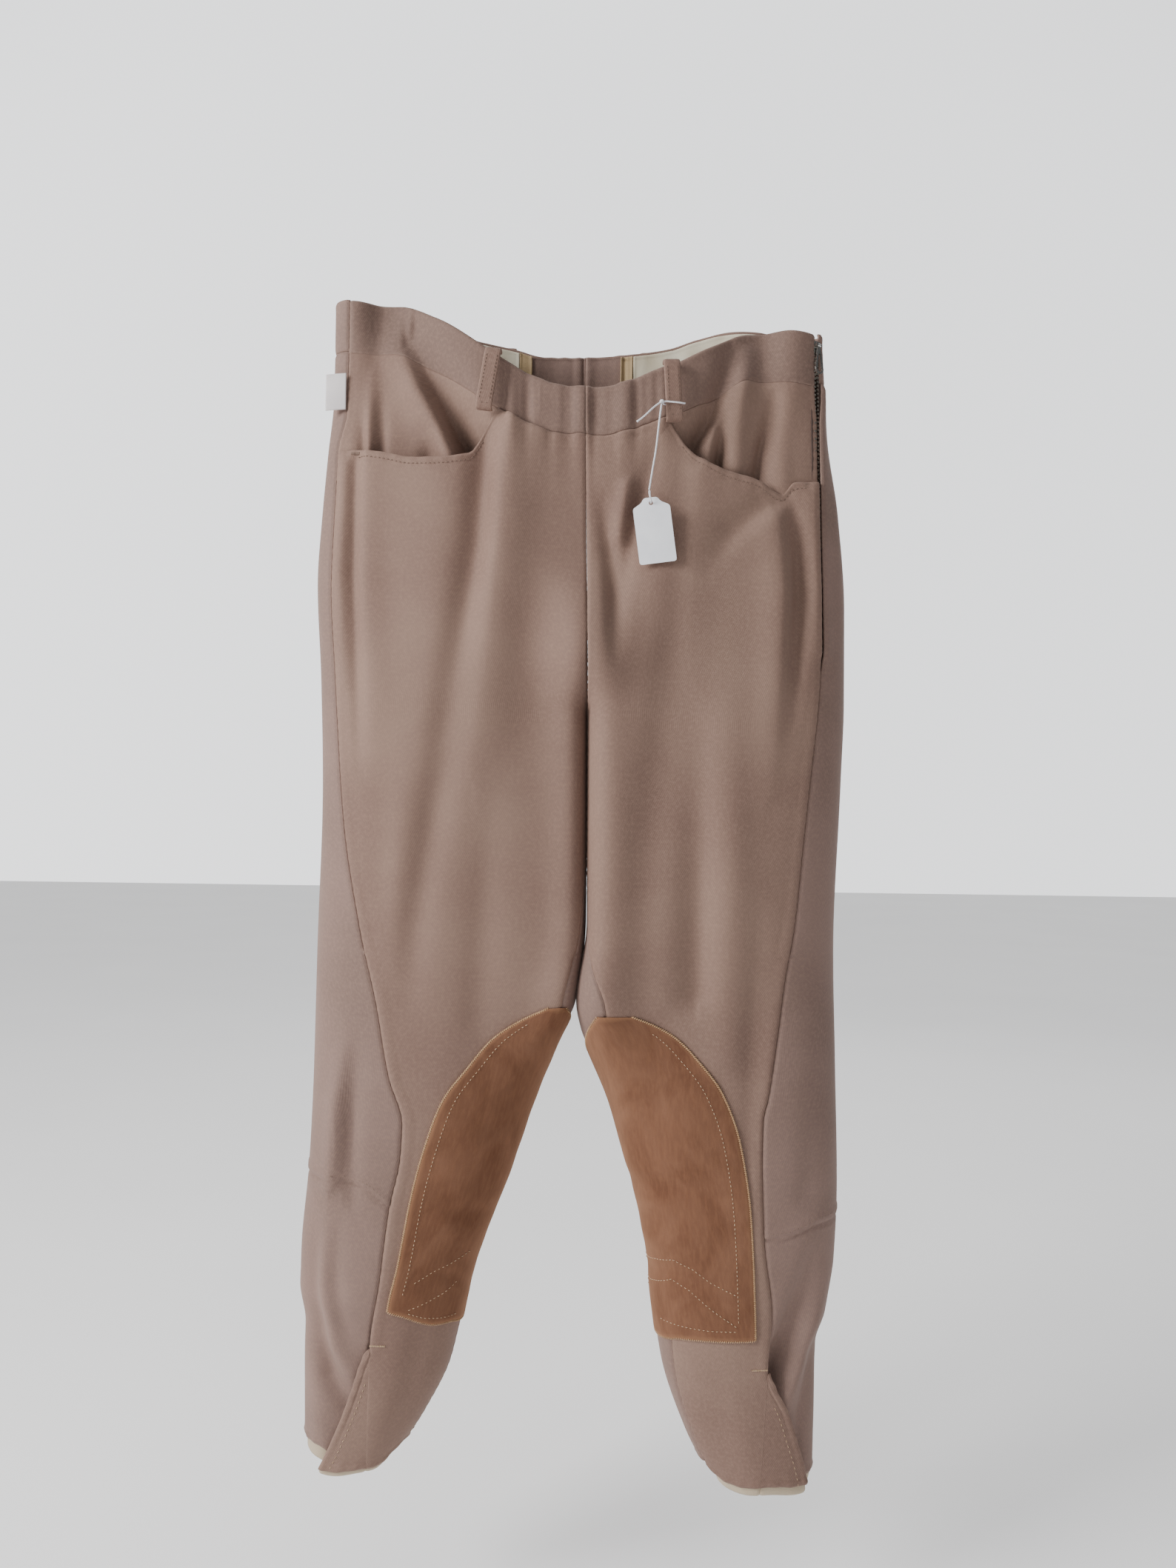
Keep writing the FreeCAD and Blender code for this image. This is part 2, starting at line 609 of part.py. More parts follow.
BELT_LOOPS = {   # name: (side, across at the top, on the back, lean of its lower end across in degrees)
    "right_front_belt_loop": (RIGHT, 61.5, False, 7.0),
    "left_front_belt_loop": (LEFT, 61.5, False, 0.0),
    "right_back_belt_loop": (RIGHT, 55.5, True, 0.0),
    "left_back_belt_loop": (LEFT, 48.0, True, 0.0),
}


def strip_axes(side, turn, top, lean):
    """Axes for a strip on the cloth: outwards, down along the cloth with a sideways lean, and across."""
    slope = (side.skin(turn, top - LOOP_HEIGHT) - side.skin(turn, top)).normalize()
    tilt = math.radians(lean)
    down = (slope * math.cos(tilt) + Vector(side.sign, 0, 0) * math.sin(tilt)).normalize()
    out = side.outward(turn, top - LOOP_HEIGHT / 2)
    out = (out - down * out.dot(down)).normalize()
    return out, down, out.cross(down)


def loop_outline():
    """A belt loop's side view: (outwards, down)."""
    far, near, end = LOOP_ROOM + LOOP_STRIP, LOOP_ROOM, LOOP_HEIGHT
    outside = [(0.4, 0), (far - 2, 0), (far, 4), (far, end - 4), (far - 2, end), (0.4, end)]
    inside = [(0.4, end - 1.6), (near - 1.4, end - 1.6), (near, end - 4.5), (near, 4.5), (near - 1.4, 1.6),
              (0.4, 1.6)]
    return outside + inside


def make_belt_loops():
    for name, (side, across, behind, lean) in BELT_LOOPS.items():
        top = side.back_top(across) if behind else side.front_top(across)
        top += 1.0
        turn = 4 - side.turn_at(across, top) if behind else side.turn_at(across, top)
        out, down, wide = strip_axes(side, turn, top, lean)
        foot = side.skin(turn, top) + out * LOOP_LIFT
        strip = frame_prism(foot, (out, down, wide), loop_outline(), -LOOP_WIDTH / 2, LOOP_WIDTH / 2)
        save(name, strip)


def make_side_label():
    corner = LABEL_FOLD - Vector(LABEL_SIZE[0], LABEL_SIZE[1], LABEL_SIZE[2] / 2)
    save("side_label", Part.makeBox(*LABEL_SIZE, corner))


# Side zip ----------------------------------------------------------------------------------------------

def zip_axes():
    """Down the zip, across it towards the back, and outwards."""
    down = (ZIP_LOWER_END - ZIP_TOP).normalize()
    outwards = (ZIP_FACING - down * ZIP_FACING.dot(down)).normalize()
    return down, outwards.cross(down), outwards


def make_zip():
    axes = zip_axes()
    tooth = (1.5, 1.8, 1.4)      # along, across, thickness
    for name, way in (("front", -1), ("back", 1)):
        edges = sorted(way * edge for edge in TAPE_EDGES)
        save(f"zip_{name}_tape", frame_box(ZIP_TOP, axes, (-2, edges[0], -0.3), (ZIP_LENGTH, edges[1], 0.3)))
        teeth = []
        shift = 0.0 if way < 0 else TOOTH_PITCH / 2
        for number in range(int((ZIP_LENGTH - 6) / TOOTH_PITCH)):
            start = number * TOOTH_PITCH + shift
            near, far = sorted((way * 0.6, way * (0.6 + tooth[1])))
            teeth.append(frame_box(ZIP_TOP, axes, (start, near, -tooth[2] / 2), (start + tooth[0], far, 0.7)))
        save(f"zip_{name}_teeth", *teeth)
    stop = frame_box(ZIP_TOP, axes, (ZIP_LENGTH - 4, -2.3, -1.2), (ZIP_LENGTH, 2.3, 1.2))
    save("zip_bottom_stop", stop)
    save("zip_guard", frame_box(ZIP_TOP, axes, (24, -6, -5.4), (ZIP_LENGTH, 6, -4.4)))
    save("zip_slider", slider(axes))
    save("zip_pull", pull(axes))


def slider(axes):
    """Two plates joined by a web between the rows of teeth, with a bar for the pull."""
    front = frame_box(ZIP_TOP, axes, (0, -3.4, 1.1), (9, 3.4, 2.1))
    back = frame_box(ZIP_TOP, axes, (0, -3.4, -2.1), (9, 3.4, -1.1))
    web = frame_box(ZIP_TOP, axes, (0, -0.4, -1.2), (3.2, 0.4, 1.2))
    parts = [back, web]
    for way in (-1, 1):
        low, high = sorted((way * 1.9, way * 2.7))
        parts.append(frame_box(ZIP_TOP, axes, (PULL_BAR[0] - 1.1, low, 2.0), (PULL_BAR[0] + 1.1, high, 4.4)))
    down, wide, out = axes
    start = ZIP_TOP + down * PULL_BAR[0] + out * PULL_BAR[1] - wide * 2.0
    parts.append(Part.makeCylinder(BAR_RADIUS, 4.0, start, wide))
    return front.multiFuse(parts).removeSplitter()


def pull(axes):
    """A flat teardrop ring with an eye round the slider's bar."""
    down, wide, out = axes
    centre = ZIP_TOP + down * PULL_BAR[0] + out * PULL_BAR[1]
    thick = 1.0
    base = centre - out * (thick / 2)
    eye = Part.makeCylinder(PULL_EYE, thick, base, out)
    ring_centre = base + down * (PULL_LENGTH - 4.6)
    ring = Part.makeCylinder(4.0, thick, ring_centre, out)
    neck = frame_prism(base, (down, wide, out), [(0, -1.3), (PULL_LENGTH - 6, -3.8), (PULL_LENGTH - 6, 3.8),
                                                 (0, 1.3)], 0, thick)
    window = Part.makeCylinder(2.6, thick * 3, ring_centre - out * thick, out)
    slot = frame_prism(base, (down, wide, out), [(6.5, -0.7), (PULL_LENGTH - 6, -2.2), (PULL_LENGTH - 6, 2.2),
                                                 (6.5, 0.7)], -thick, thick * 2)
    bore = Part.makeCylinder(BAR_RADIUS + 0.06, 6, centre - wide * 3, wide)
    body = eye.multiFuse([ring, neck])
    # The eye is thicker than the plate, so the bar's hole has a wall all round.
    knuckle = Part.makeCylinder(1.15, 3.2, centre - wide * 1.6, wide)
    return body.fuse(knuckle).cut(window).cut(slot).cut(bore)


# Tag ---------------------------------------------------------------------------------------------------

def tube_along(points, diameter):
    """Straight runs joined by tangent arcs, swept with a round section. Prints the arcs' radii."""
    corners = [Vector(*p) for p in points]
    edges = []
    start = corners[0]
    for before, here, after in zip(corners, corners[1:], corners[2:]):
        into, out = (here - before), (after - here)
        turn = into.getAngle(out)
        room = 0.45 * min(into.Length, out.Length)
        radius = room / math.tan(turn / 2)
        a = here - into.normalize() * room
        b = here + out.normalize() * room
        towards = (out - into).normalize()
        middle = here + towards * (radius / math.cos(turn / 2) - radius)
        edges.append(Part.LineSegment(start, a).toShape())
        edges.append(Part.Arc(a, middle, b).toShape())
        print(f"cord radius {radius:.1f}")
        start = b
    edges.append(Part.LineSegment(start, corners[-1]).toShape())
    path = Part.Wire(edges)
    heading = corners[1] - corners[0]
    section = Part.Wire(Part.makeCircle(diameter / 2, corners[0], heading))
    tube = path.makePipeShell([section], True, True)
    share = tube.Volume / (path.Length * section_area(diameter))
    print(f"cord length {path.Length:.1f}, volume share {share:.4f}")
    return tube


def section_area(diameter):
    return math.pi * diameter ** 2 / 4


def make_tag():
    ring_half = (LOOP_WIDTH / 2 + 2.2, RING_DEPTH)
    corners = [(-1, -1), (1, -1), (1, 1), (-1, 1)]
    points = [RING_CENTRE + Vector(a * ring_half[0], b * ring_half[1], 0) for a, b in corners]
    wire = rounded_loop(points, 1.5)
    start = wire.Edges[0]
    section = Part.Wire(Part.makeCircle(STRING / 2, start.valueAt(start.FirstParameter),
                                        start.tangentAt(start.FirstParameter)))
    ring = wire.makePipeShell([section], True, True)
    knot = Part.makeSphere(1.9, KNOT)
    tail_way = Vector(-17.0, -1.0, -14.5)
    tail = Part.makeCylinder(STRING / 2, tail_way.Length, KNOT, tail_way)
    save("tag_string_loop", ring.multiFuse([knot, tail]))
    save("tag_string", tube_along(STRING_ROUTE, STRING))
    save("tag_end_loop", end_loop())
    save("price_tag", tag_plate())


def rounded_loop(points, radius):
    """A closed wire of straight runs with rounded corners."""
    edges = []
    count = len(points)
    for i in range(count):
        before, here, after = points[i - 1], points[i], points[(i + 1) % count]
        following = points[(i + 2) % count]
        a = here + (before - here).normalize() * radius
        b = here + (after - here).normalize() * radius
        inwards = ((before - here).normalize() + (after - here).normalize())
        middle = here + inwards * radius * (1 - math.sqrt(0.5))
        edges.append(Part.Arc(a, middle, b).toShape())
        c = after + (here - after).normalize() * radius
        edges.append(Part.LineSegment(b, c).toShape())
    return Part.Wire(edges)


def tag_axes():
    tilt = math.radians(TAG_TILT)
    down = Vector(math.sin(tilt), 0, -math.cos(tilt))
    return down, Vector(math.cos(tilt), 0, math.sin(tilt)), Vector(0, -1, 0)


def tag_plate():
    width, length, thick = TAG_SIZE
    half, shoulder, neck = width / 2, 6.5, 5.5
    outline = [(0, -neck), (0, neck), (shoulder / 2, neck + 1.5), (shoulder, half), (length, half),
               (length, -half), (shoulder, -half), (shoulder / 2, -neck - 1.5)]
    down, wide, out = tag_axes()
    plate = frame_prism(TAG_TOP, (down, wide, out), outline, -thick / 2, thick / 2)
    hole = Part.makeCylinder(TAG_HOLE_RADIUS, 4, TAG_TOP + down * TAG_HOLE_DROP - out * 2, out)
    return plate.cut(hole)


def end_loop():
    """The string's end loop, through the tag's hole and over its top edge."""
    down, wide, out = tag_axes()
    centre = TAG_TOP + down * (TAG_HOLE_DROP - END_LOOP)
    return Part.makeTorus(END_LOOP, STRING * 0.4, centre, wide)


make_waistband()
for one_side in (RIGHT, LEFT):
    make_seat(one_side)
    make_pocket(one_side)
    make_leg(one_side)
make_belt_loops()
make_side_label()
make_zip()
make_tag()
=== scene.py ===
"""Riding breeches hanging by their waistband, with suede knee patches, a side zip and a strung price tag.

The cloth is laid on the same smooth shape as the CAD panels, in the same frame. Lengths inside the shape
functions are millimetres and become metres when a mesh is made. A position round one side's tube of cloth
is a turn number: 0 at the outer edge, 1 at the front, 2 at the inner edge, 3 at the back, 4 outside again."""

import math
import random

import bpy
import numpy as np
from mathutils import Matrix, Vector


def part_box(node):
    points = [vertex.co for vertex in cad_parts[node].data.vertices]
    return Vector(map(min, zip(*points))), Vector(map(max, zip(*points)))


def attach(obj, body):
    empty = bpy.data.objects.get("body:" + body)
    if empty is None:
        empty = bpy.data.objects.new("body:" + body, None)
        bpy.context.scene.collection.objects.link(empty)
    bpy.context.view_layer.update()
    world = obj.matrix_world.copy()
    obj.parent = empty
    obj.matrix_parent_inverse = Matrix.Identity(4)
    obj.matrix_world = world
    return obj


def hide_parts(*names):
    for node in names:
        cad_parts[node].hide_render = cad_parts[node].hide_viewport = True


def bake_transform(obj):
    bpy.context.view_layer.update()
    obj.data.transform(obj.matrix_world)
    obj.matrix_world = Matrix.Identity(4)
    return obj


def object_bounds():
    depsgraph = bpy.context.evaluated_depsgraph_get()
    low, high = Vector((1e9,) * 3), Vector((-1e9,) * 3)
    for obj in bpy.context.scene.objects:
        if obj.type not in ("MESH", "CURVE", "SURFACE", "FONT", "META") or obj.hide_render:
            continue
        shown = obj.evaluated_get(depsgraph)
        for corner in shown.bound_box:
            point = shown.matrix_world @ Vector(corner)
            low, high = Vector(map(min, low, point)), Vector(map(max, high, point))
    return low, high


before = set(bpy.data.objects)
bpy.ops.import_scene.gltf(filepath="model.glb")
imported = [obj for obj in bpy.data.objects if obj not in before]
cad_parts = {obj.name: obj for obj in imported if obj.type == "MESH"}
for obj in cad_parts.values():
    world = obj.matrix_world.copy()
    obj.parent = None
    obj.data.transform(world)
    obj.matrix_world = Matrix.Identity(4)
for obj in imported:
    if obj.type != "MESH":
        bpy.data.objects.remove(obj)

CAD_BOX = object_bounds()
MM = 0.001

# Camera --------------------

CAMERA_AT = (0.008, -0.858, -0.3363)
CAMERA_LENS = 27.04       # on the 36 mm long side of the sensor
CAMERA_ROLL = 0.8


def make_camera():
    data = bpy.data.cameras.new("camera")
    data.lens = CAMERA_LENS
    data.sensor_width = 36
    data.clip_start = 0.01
    data.clip_end = 50
    camera = bpy.data.objects.new("camera", data)
    bpy.context.scene.collection.objects.link(camera)
    camera.location = CAMERA_AT
    camera.rotation_mode = "XYZ"
    camera.rotation_euler = (math.radians(90), math.radians(-CAMERA_ROLL), 0)
    bpy.context.scene.camera = camera


make_camera()

# Dimensions, in millimetres --------------------

CLOTH = 1.7               # thickness of a cloth panel
LINING = 0.8              # thickness of linings, tapes and facings
SUEDE = 1.3
PATCH_LIFT = 0.6          # clearance under a knee patch
FULLNESS = 0.07           # 0 makes a section elliptical, more makes it fuller
SEAM_GAP = 0.3
# Heights, from the top of the seat down.
CROTCH = -288.0
THIGH_SPLIT = -455.0      # the upper and lower legs meet here, without a seam
SEAT_END = -302.0
THIGH_START = -380.0
THIGH_END = -543.0
SHIN_START = -655.0
FRONT_HEM = {"right": -826.0, "left": -836.0}
BACK_HEM = {"right": -841.0, "left": -842.0}
SLIT_TOP = {"right": -731.0, "left": -745.0}
GRIP_SPOT = {"right": 144.0, "left": 128.0}   # where the waistband is gripped, across
GRIP_STRENGTH = 0.74      # share of the depth that the grip takes away
GRIP_REACH = 110.0        # how far below the waistband the grip still flattens the cloth
INNER_RIDGE = {"right": (26.0, 24.0), "left": (33.0, 33.0)}   # height and width of the thighs' inner ridge

FRONT_DEPTH = [(20, 32), (-60, 36), (-100, 40), (-150, 42), (-200, 46), (-288, 50), (-400, 50),
               (-500, 48), (-600, 46), (-650, 44), (-700, 40), (-760, 34), (-850, 27)]
BACK_DEPTH = [(20, 20), (-60, 26), (-100, 32), (-200, 46), (-288, 50), (-400, 47), (-500, 41),
              (-600, 36), (-700, 37), (-760, 35), (-850, 30)]
CENTRE_LINE = [(20, 2), (-93, 3), (-274, 7), (-433, 8), (-850, 8)]

# Outer edge, inner edge and front seams, as (height, across).
OUTER_EDGE = {
    "right": [(20, 180), (-60, 181), (-100, 184.5), (-150, 188), (-190, 190), (-265, 186.5), (-360, 184.7),
              (-440, 186), (-540, 188), (-615, 191), (-670, 195), (-720, 196), (-850, 195.5)],
    "left": [(20, 172), (-46, 175.5), (-81, 178), (-139, 187), (-210, 192.5), (-277, 193), (-334, 191),
             (-437, 187.6), (-531, 190.5), (-626, 192.3), (-670, 191), (-714, 186), (-850, 182)],
}
INNER_EDGE = {
    "right": [(20, -180), (-90, -180), (-150, -120), (-200, -72), (-250, -30), (-288, -7.2), (-433, -8.3),
              (-489, -1.6), (-514, 9.5), (-551, 23.5), (-617, 46), (-682, 69.5), (-735, 81), (-758, 87),
              (-790, 103), (-829, 126), (-850, 134)],
    "left": [(20, -175), (-90, -172), (-150, -115), (-200, -62), (-250, -16), (-288, 7.2), (-433, 8.1),
             (-489, 1.7), (-509, 5), (-532, 14), (-569, 28.5), (-621, 43.6), (-662, 55), (-716, 61),
             (-753, 67), (-800, 84), (-842, 104), (-850, 107)],
}
SIDE_SEAM = {
    "right": [(20, 168), (-72, 169), (-101, 175), (-192, 176.5), (-266, 171.5), (-367, 163), (-438, 150),
              (-490, 137), (-541, 127), (-573, 117.3), (-596, 118.3), (-632, 125.5), (-683, 132),
              (-731, 139), (-850, 143)],
    "left": [(20, 169), (-242, 171), (-272, 169.4), (-312, 165.4), (-367, 160), (-434, 153.4),
             (-470, 147), (-511, 142), (-551, 136.4), (-568, 133), (-591, 132.6), (-651, 134.8),
             (-707, 141.8), (-745, 140), (-850, 141)],
}
SLIT_EDGE = {
    "right": [(-731, 139), (-740, 144), (-765, 152.4), (-785, 159.5), (-803, 167), (-826, 177.5)],
    "left": [(-745, 140), (-761, 147), (-776, 155), (-800, 163), (-820, 169), (-836, 172)],
}
INSEAM_TURN = {
    "right": [(-288, 2), (-380, 1.93), (-438, 1.8), (-488, 1.7), (-550, 1.72), (-655, 1.8), (-745, 1.93),
              (-850, 1.95)],
    "left": [(-288, 2), (-380, 1.95), (-441, 1.87), (-492, 1.55), (-655, 1.58), (-761, 1.65), (-850, 1.75)],
}

# Edges across the front and back, as (across, height).
FRONT_TOP = {
    "right": [(-14, -58.5), (0, -58.2), (14, -57.4), (39, -48.7), (61, -35.6), (72, -28), (105, -6.4),
              (133, 6.4), (166, 8.4), (182, 10)],
    "left": [(-14, -57.4), (0, -58.2), (13.5, -58.5), (31, -54.2), (53, -44.7), (66, -39.7), (90, -26.3),
             (119, -11.1), (137, -9.4), (178, -11.5)],
}
BACK_TOP = {
    "right": [(-32, -16.5), (3.5, -18.3), (29, -18.5), (50, -13.4), (82, -7.3), (103, -2.6), (144, 8),
              (182, 10)],
    "left": [(-30, -18.6), (-3.5, -18.3), (32, -16), (64, -11.7), (85, -5.9), (106, -3), (138, -5.5),
             (178, -9)],
}
BAND_BOTTOM_DROP = {"front": [(0, 34), (60, 37), (180, 38)], "back": [(0, 36), (180, 37)]}
POCKET_MOUTH = {
    "right": [(60, -75), (64, -82), (72, -97.5), (78, -105.8), (100, -109.2), (119, -108.9),
              (139, -104.8), (162, -101.5), (182, -101)],
    "left": [(61, -81), (66, -88.5), (73, -99.5), (81.4, -106.9), (101.5, -116.1), (123, -121), (143, -129.5),
             (151.5, -121.2), (166, -119.9), (182, -119)],
}
POCKET_START = {"right": 60.0, "left": 61.0}

PATCH_FRONT_EDGE = {   # suede knee patch, from its top corner down
    "right": [(-491.5, 17), (-503.4, 41), (-515, 56.8), (-532, 71.2), (-556, 89.2), (-585, 100),
              (-621, 109.6), (-671, 119), (-705, 126.4), (-725, 128)],
    "left": [(-495.5, 40), (-501, 54), (-510, 70.3), (-523, 84), (-549, 103.8), (-584, 116.6),
             (-631, 124.2), (-697, 128.7), (-722, 129.8), (-735, 130)],
}
PATCH_BACK_TURN = {
    "right": [(-491.5, 1.74), (-506, 2.0), (-530, 2.3), (-570, 2.58), (-640, 2.7), (-735, 2.72)],
    "left": [(-495.5, 1.62), (-531, 2.0), (-555, 2.3), (-590, 2.55), (-650, 2.68), (-740, 2.7)],
}
PATCH_TOP = {"right": -491.5, "left": -495.5}
PATCH_BOTTOM = {   # (across, height)
    "right": [(50, -724), (78, -723), (84.5, -719), (95.4, -717.8), (105.7, -713.8), (114.5, -709.2),
              (127, -704.7)],
    "left": [(50, -732), (64.5, -731), (80, -725.8), (105, -723.5), (131, -721.8)],
}
ZIP_TOP = (167.8, -6.5, -15.0)
ZIP_LOWER_END = (169.4, -29.5, -243.0)
ZIP_FACING = (0.57, -0.8, 0.0)
ZIP_LENGTH = 228.0
LOOP_WIDTH = 11.0
LOOP_HEIGHT = 44.0
FLAP_FOLD = {"right": (139.0, 142.0), "left": (140.0, 136.0)}   # across, at the slit's top and at the hem
TUCK = 4.6                # how deep the calf panel sits under the cuff flap
TUCK_WIDTH = 12.0
KNOT = (55.2, -46.6, -72.0)
RING_CENTRE = (63.9, -43.2, -72.0)
STRING = 1.2
END_LOOP = 4.2
STRING_ROUTE = [(55.0, -47.0, -74.1), (53.1, -49.0, -89.0), (51.7, -50.5, -105.0), (49.2, -51.5, -120.0),
                (47.1, -51.7, -134.3)]
TAG_TOP = (47.8, -51.6, -139.4)
TAG_TILT = 8.0
TAG_SIZE = (26.0, 45.5, 0.6)
HOLE_DROP = 4.0
HOLE_RADIUS = 1.5
SIDES = {"right": -1, "left": 1}


def metres(point):
    return tuple(float(c) * MM for c in point)


# Meshes --------------------

def link(obj):
    bpy.context.scene.collection.objects.link(obj)
    return obj


def mesh_object(name, points, faces, material=None, smooth=True):
    """A mesh object from points in millimetres."""
    mesh = bpy.data.meshes.new(name)
    places = [tuple(p) for p in np.asarray(points, float) * MM]
    mesh.from_pydata(places, [], [tuple(map(int, f)) for f in faces])
    mesh.polygons.foreach_set("use_smooth", [smooth] * len(mesh.polygons))
    if material:
        mesh.materials.append(material)
    mesh.update()
    return link(bpy.data.objects.new(name, mesh))


def set_attribute(obj, name, values, kind="FLOAT"):
    attribute = obj.data.attributes.new(name, kind, "POINT")
    key = "value" if kind == "FLOAT" else "vector"
    attribute.data.foreach_set(key, np.asarray(values, np.float32).ravel())


# The tag's string, which hangs from its knot --------------------

def make_string(material):
    curve = bpy.data.curves.new("tag_string_line", "CURVE")
    curve.dimensions = "3D"
    curve.bevel_depth = STRING / 2 * MM
    curve.bevel_resolution = 3
    curve.resolution_u = 12
    spline = curve.splines.new("NURBS")
    spline.points.add(len(STRING_ROUTE) - 1)
    for point, at in zip(spline.points, STRING_ROUTE):
        point.co = (*metres(at), 1)
    spline.order_u = 3
    spline.use_endpoint_u = True
    curve.use_fill_caps = True
    curve.materials.append(material)
    return link(bpy.data.objects.new("tag_string_line", curve))


# Curves and the cloth's shape --------------------

def smooth_curve(points):
    """A function through (x, y) points that bends smoothly and never overshoots between them."""
    xs, ys = np.array(sorted(points), float).T
    steps = np.diff(ys) / np.diff(xs)
    slopes = [steps[0]]
    for before, after in zip(steps, steps[1:]):
        slopes.append(0.0 if before * after <= 0 else 2 * before * after / (before + after))
    slopes = np.array(slopes + [steps[-1]])

    def value(x):
        x = np.clip(x, xs[0], xs[-1])
        i = np.clip(np.searchsorted(xs, x, side="right") - 1, 0, len(xs) - 2)
        width = xs[i + 1] - xs[i]
        s = (x - xs[i]) / width
        rise = ys[i + 1] - ys[i]
        bend = (slopes[i] * width - rise) * (1 - s) + (rise - slopes[i + 1] * width) * s
        return ys[i] + s * rise + s * (1 - s) * bend

    return value


def ease(x):
    x = np.clip(x, 0.0, 1.0)
    return x * x * (3 - 2 * x)


def bump(x, width):
    return np.exp(-(x / width) ** 2)


def fuller(share):
    """Turns the sine or cosine of an ellipse's angle into that of a slightly squarer, fuller section."""
    return share * (1 + FULLNESS * (1 - share * share))


def unit(vectors):
    return vectors / np.maximum(np.linalg.norm(vectors, axis=-1, keepdims=True), 1e-9)


front_depth = smooth_curve(FRONT_DEPTH)
back_depth = smooth_curve(BACK_DEPTH)
centre_line = smooth_curve(CENTRE_LINE)


class Side:
    """One side of the breeches: the flattened tube of its cloth and the seams on it."""

    def __init__(self, name):
        self.name = name
        self.sign = SIDES[name]
        self.outer = smooth_curve(OUTER_EDGE[name])
        self.inner = smooth_curve(INNER_EDGE[name])
        self.seam_across = smooth_curve(SIDE_SEAM[name])
        self.slit_across = smooth_curve(SLIT_EDGE[name])
        self.inseam_turn = smooth_curve(INSEAM_TURN[name])
        self.front_top = smooth_curve(FRONT_TOP[name])
        self.back_top = smooth_curve(BACK_TOP[name])
        self.mouth = smooth_curve(POCKET_MOUTH[name])
        self.patch_edge = smooth_curve(PATCH_FRONT_EDGE[name])
        self.patch_back = smooth_curve(PATCH_BACK_TURN[name])
        self.patch_bottom = smooth_curve(PATCH_BOTTOM[name])
        self.front_drop = smooth_curve(BAND_BOTTOM_DROP["front"])
        self.back_drop = smooth_curve(BAND_BOTTOM_DROP["back"])

    def skin(self, turn, z):
        """Points of the cloth's outer face at those turns and heights."""
        turn, z = np.broadcast_arrays(np.asarray(turn, float), np.asarray(z, float))
        outer, inner = self.outer(z), self.inner(z)
        middle = (outer + inner) / 2
        cosine = np.cos(turn * math.pi / 2)
        sine = np.sin(turn * math.pi / 2)
        across = middle + (outer - middle) * fuller(cosine)
        depth = -fuller(sine) * np.where(sine > 0, front_depth(z), back_depth(z))
        depth = depth * self.flattening(across, z)
        return np.stack([self.sign * across, depth - self.forwards(across, depth, z), z], -1)

    def forwards(self, across, depth, z):
        """The inner edges of the thighs hang forwards, in one ridge down the middle."""
        edge = np.maximum(self.inner(z), self.sign * centre_line(z))
        reach = ease((-170 - z) / 90) * ease((z + 575) / 110)
        height, width = INNER_RIDGE[self.name]
        return height * reach * np.exp(-((across - edge) / width) ** 2) * ease((48 - depth) / 42)

    def flattening(self, across, z):
        off = across - GRIP_SPOT[self.name]
        reach = np.where(off < 0, 35.0, 16.0)
        below = ease((10 - z) / GRIP_REACH)
        return 1 - GRIP_STRENGTH * np.exp(-((off / reach) ** 2)) * (1 - below)

    def outward(self, turn, z):
        small_turn, small_height = 0.004, 0.5
        along = self.skin(turn + small_turn, z) - self.skin(turn - small_turn, z)
        up = self.skin(turn, z + small_height) - self.skin(turn, z - small_height)
        return unit(np.cross(along, up) * -self.sign)

    def turn_at(self, across, z):
        outer, inner = self.outer(z), self.inner(z)
        middle = (outer + inner) / 2
        share = np.clip((across - middle) / (outer - middle), -1.0, 1.0)
        cosine = share
        for _ in range(12):
            cosine = share / (1 + FULLNESS * (1 - cosine * cosine))
        return np.arccos(np.clip(cosine, -1.0, 1.0)) * 2 / math.pi

    def moved(self, turn, z, distance):
        step = 0.004
        reach = self.skin(turn + step, z) - self.skin(turn - step, z)
        speed = np.linalg.norm(reach, axis=-1) / (2 * step)
        return turn + distance / np.maximum(speed, 20.0)

    def side_turn(self, z):
        return self.turn_at(self.seam_across(z), z)

    def seam_opening(self, z):
        """Half the gap at the side seam: the zip's lips on the left, wider round the slider at the top."""
        if self.name == "right":
            return SEAM_GAP / 2 + 0 * z
        lips = 1.0 + 1.9 * ease((z + 76) / 22)
        return SEAM_GAP / 2 + (lips - SEAM_GAP / 2) * ease((z - ZIP_LOWER_END[2] + 16) / 12)

    def front_start(self, z):
        return self.moved(self.side_turn(z), z, self.seam_opening(z))

    def back_end(self, z):
        return 4 + self.moved(self.side_turn(z), z, -self.seam_opening(z))

    def front_end(self, z):
        return self.moved(np.minimum(self.centre_turn(z), self.inseam_turn(z)), z, -SEAM_GAP / 2)

    def back_start(self, z):
        centre = self.centre_turn(z)
        return self.moved(np.where(centre >= 2, self.inseam_turn(z), 4 - centre), z, SEAM_GAP / 2)

    def centre_turn(self, z):
        edge = self.sign * centre_line(z)
        return np.where((z < CROTCH) | (edge <= self.inner(z)), 2.0, self.turn_at(edge, z))

    def band_bottom(self, across, back=False):
        if back:
            return self.back_top(across) - self.back_drop(np.abs(across))
        return self.front_top(across) - self.front_drop(np.abs(across))

    def panel_top(self, across):
        inside = across < POCKET_START[self.name]
        return np.where(inside, self.band_bottom(across) - SEAM_GAP, self.mouth(across))

    def mouth_line(self, across):
        return self.mouth(np.maximum(across, POCKET_START[self.name] + 12))


RIGHT = Side("right")
LEFT = Side("left")
BOTH = (RIGHT, LEFT)


# Folds --------------------
# A fold is (pieces, face, line of (x, z) points, heights along it, widths on its -x and +x sides).
# A height above zero is a ridge and below zero a valley.

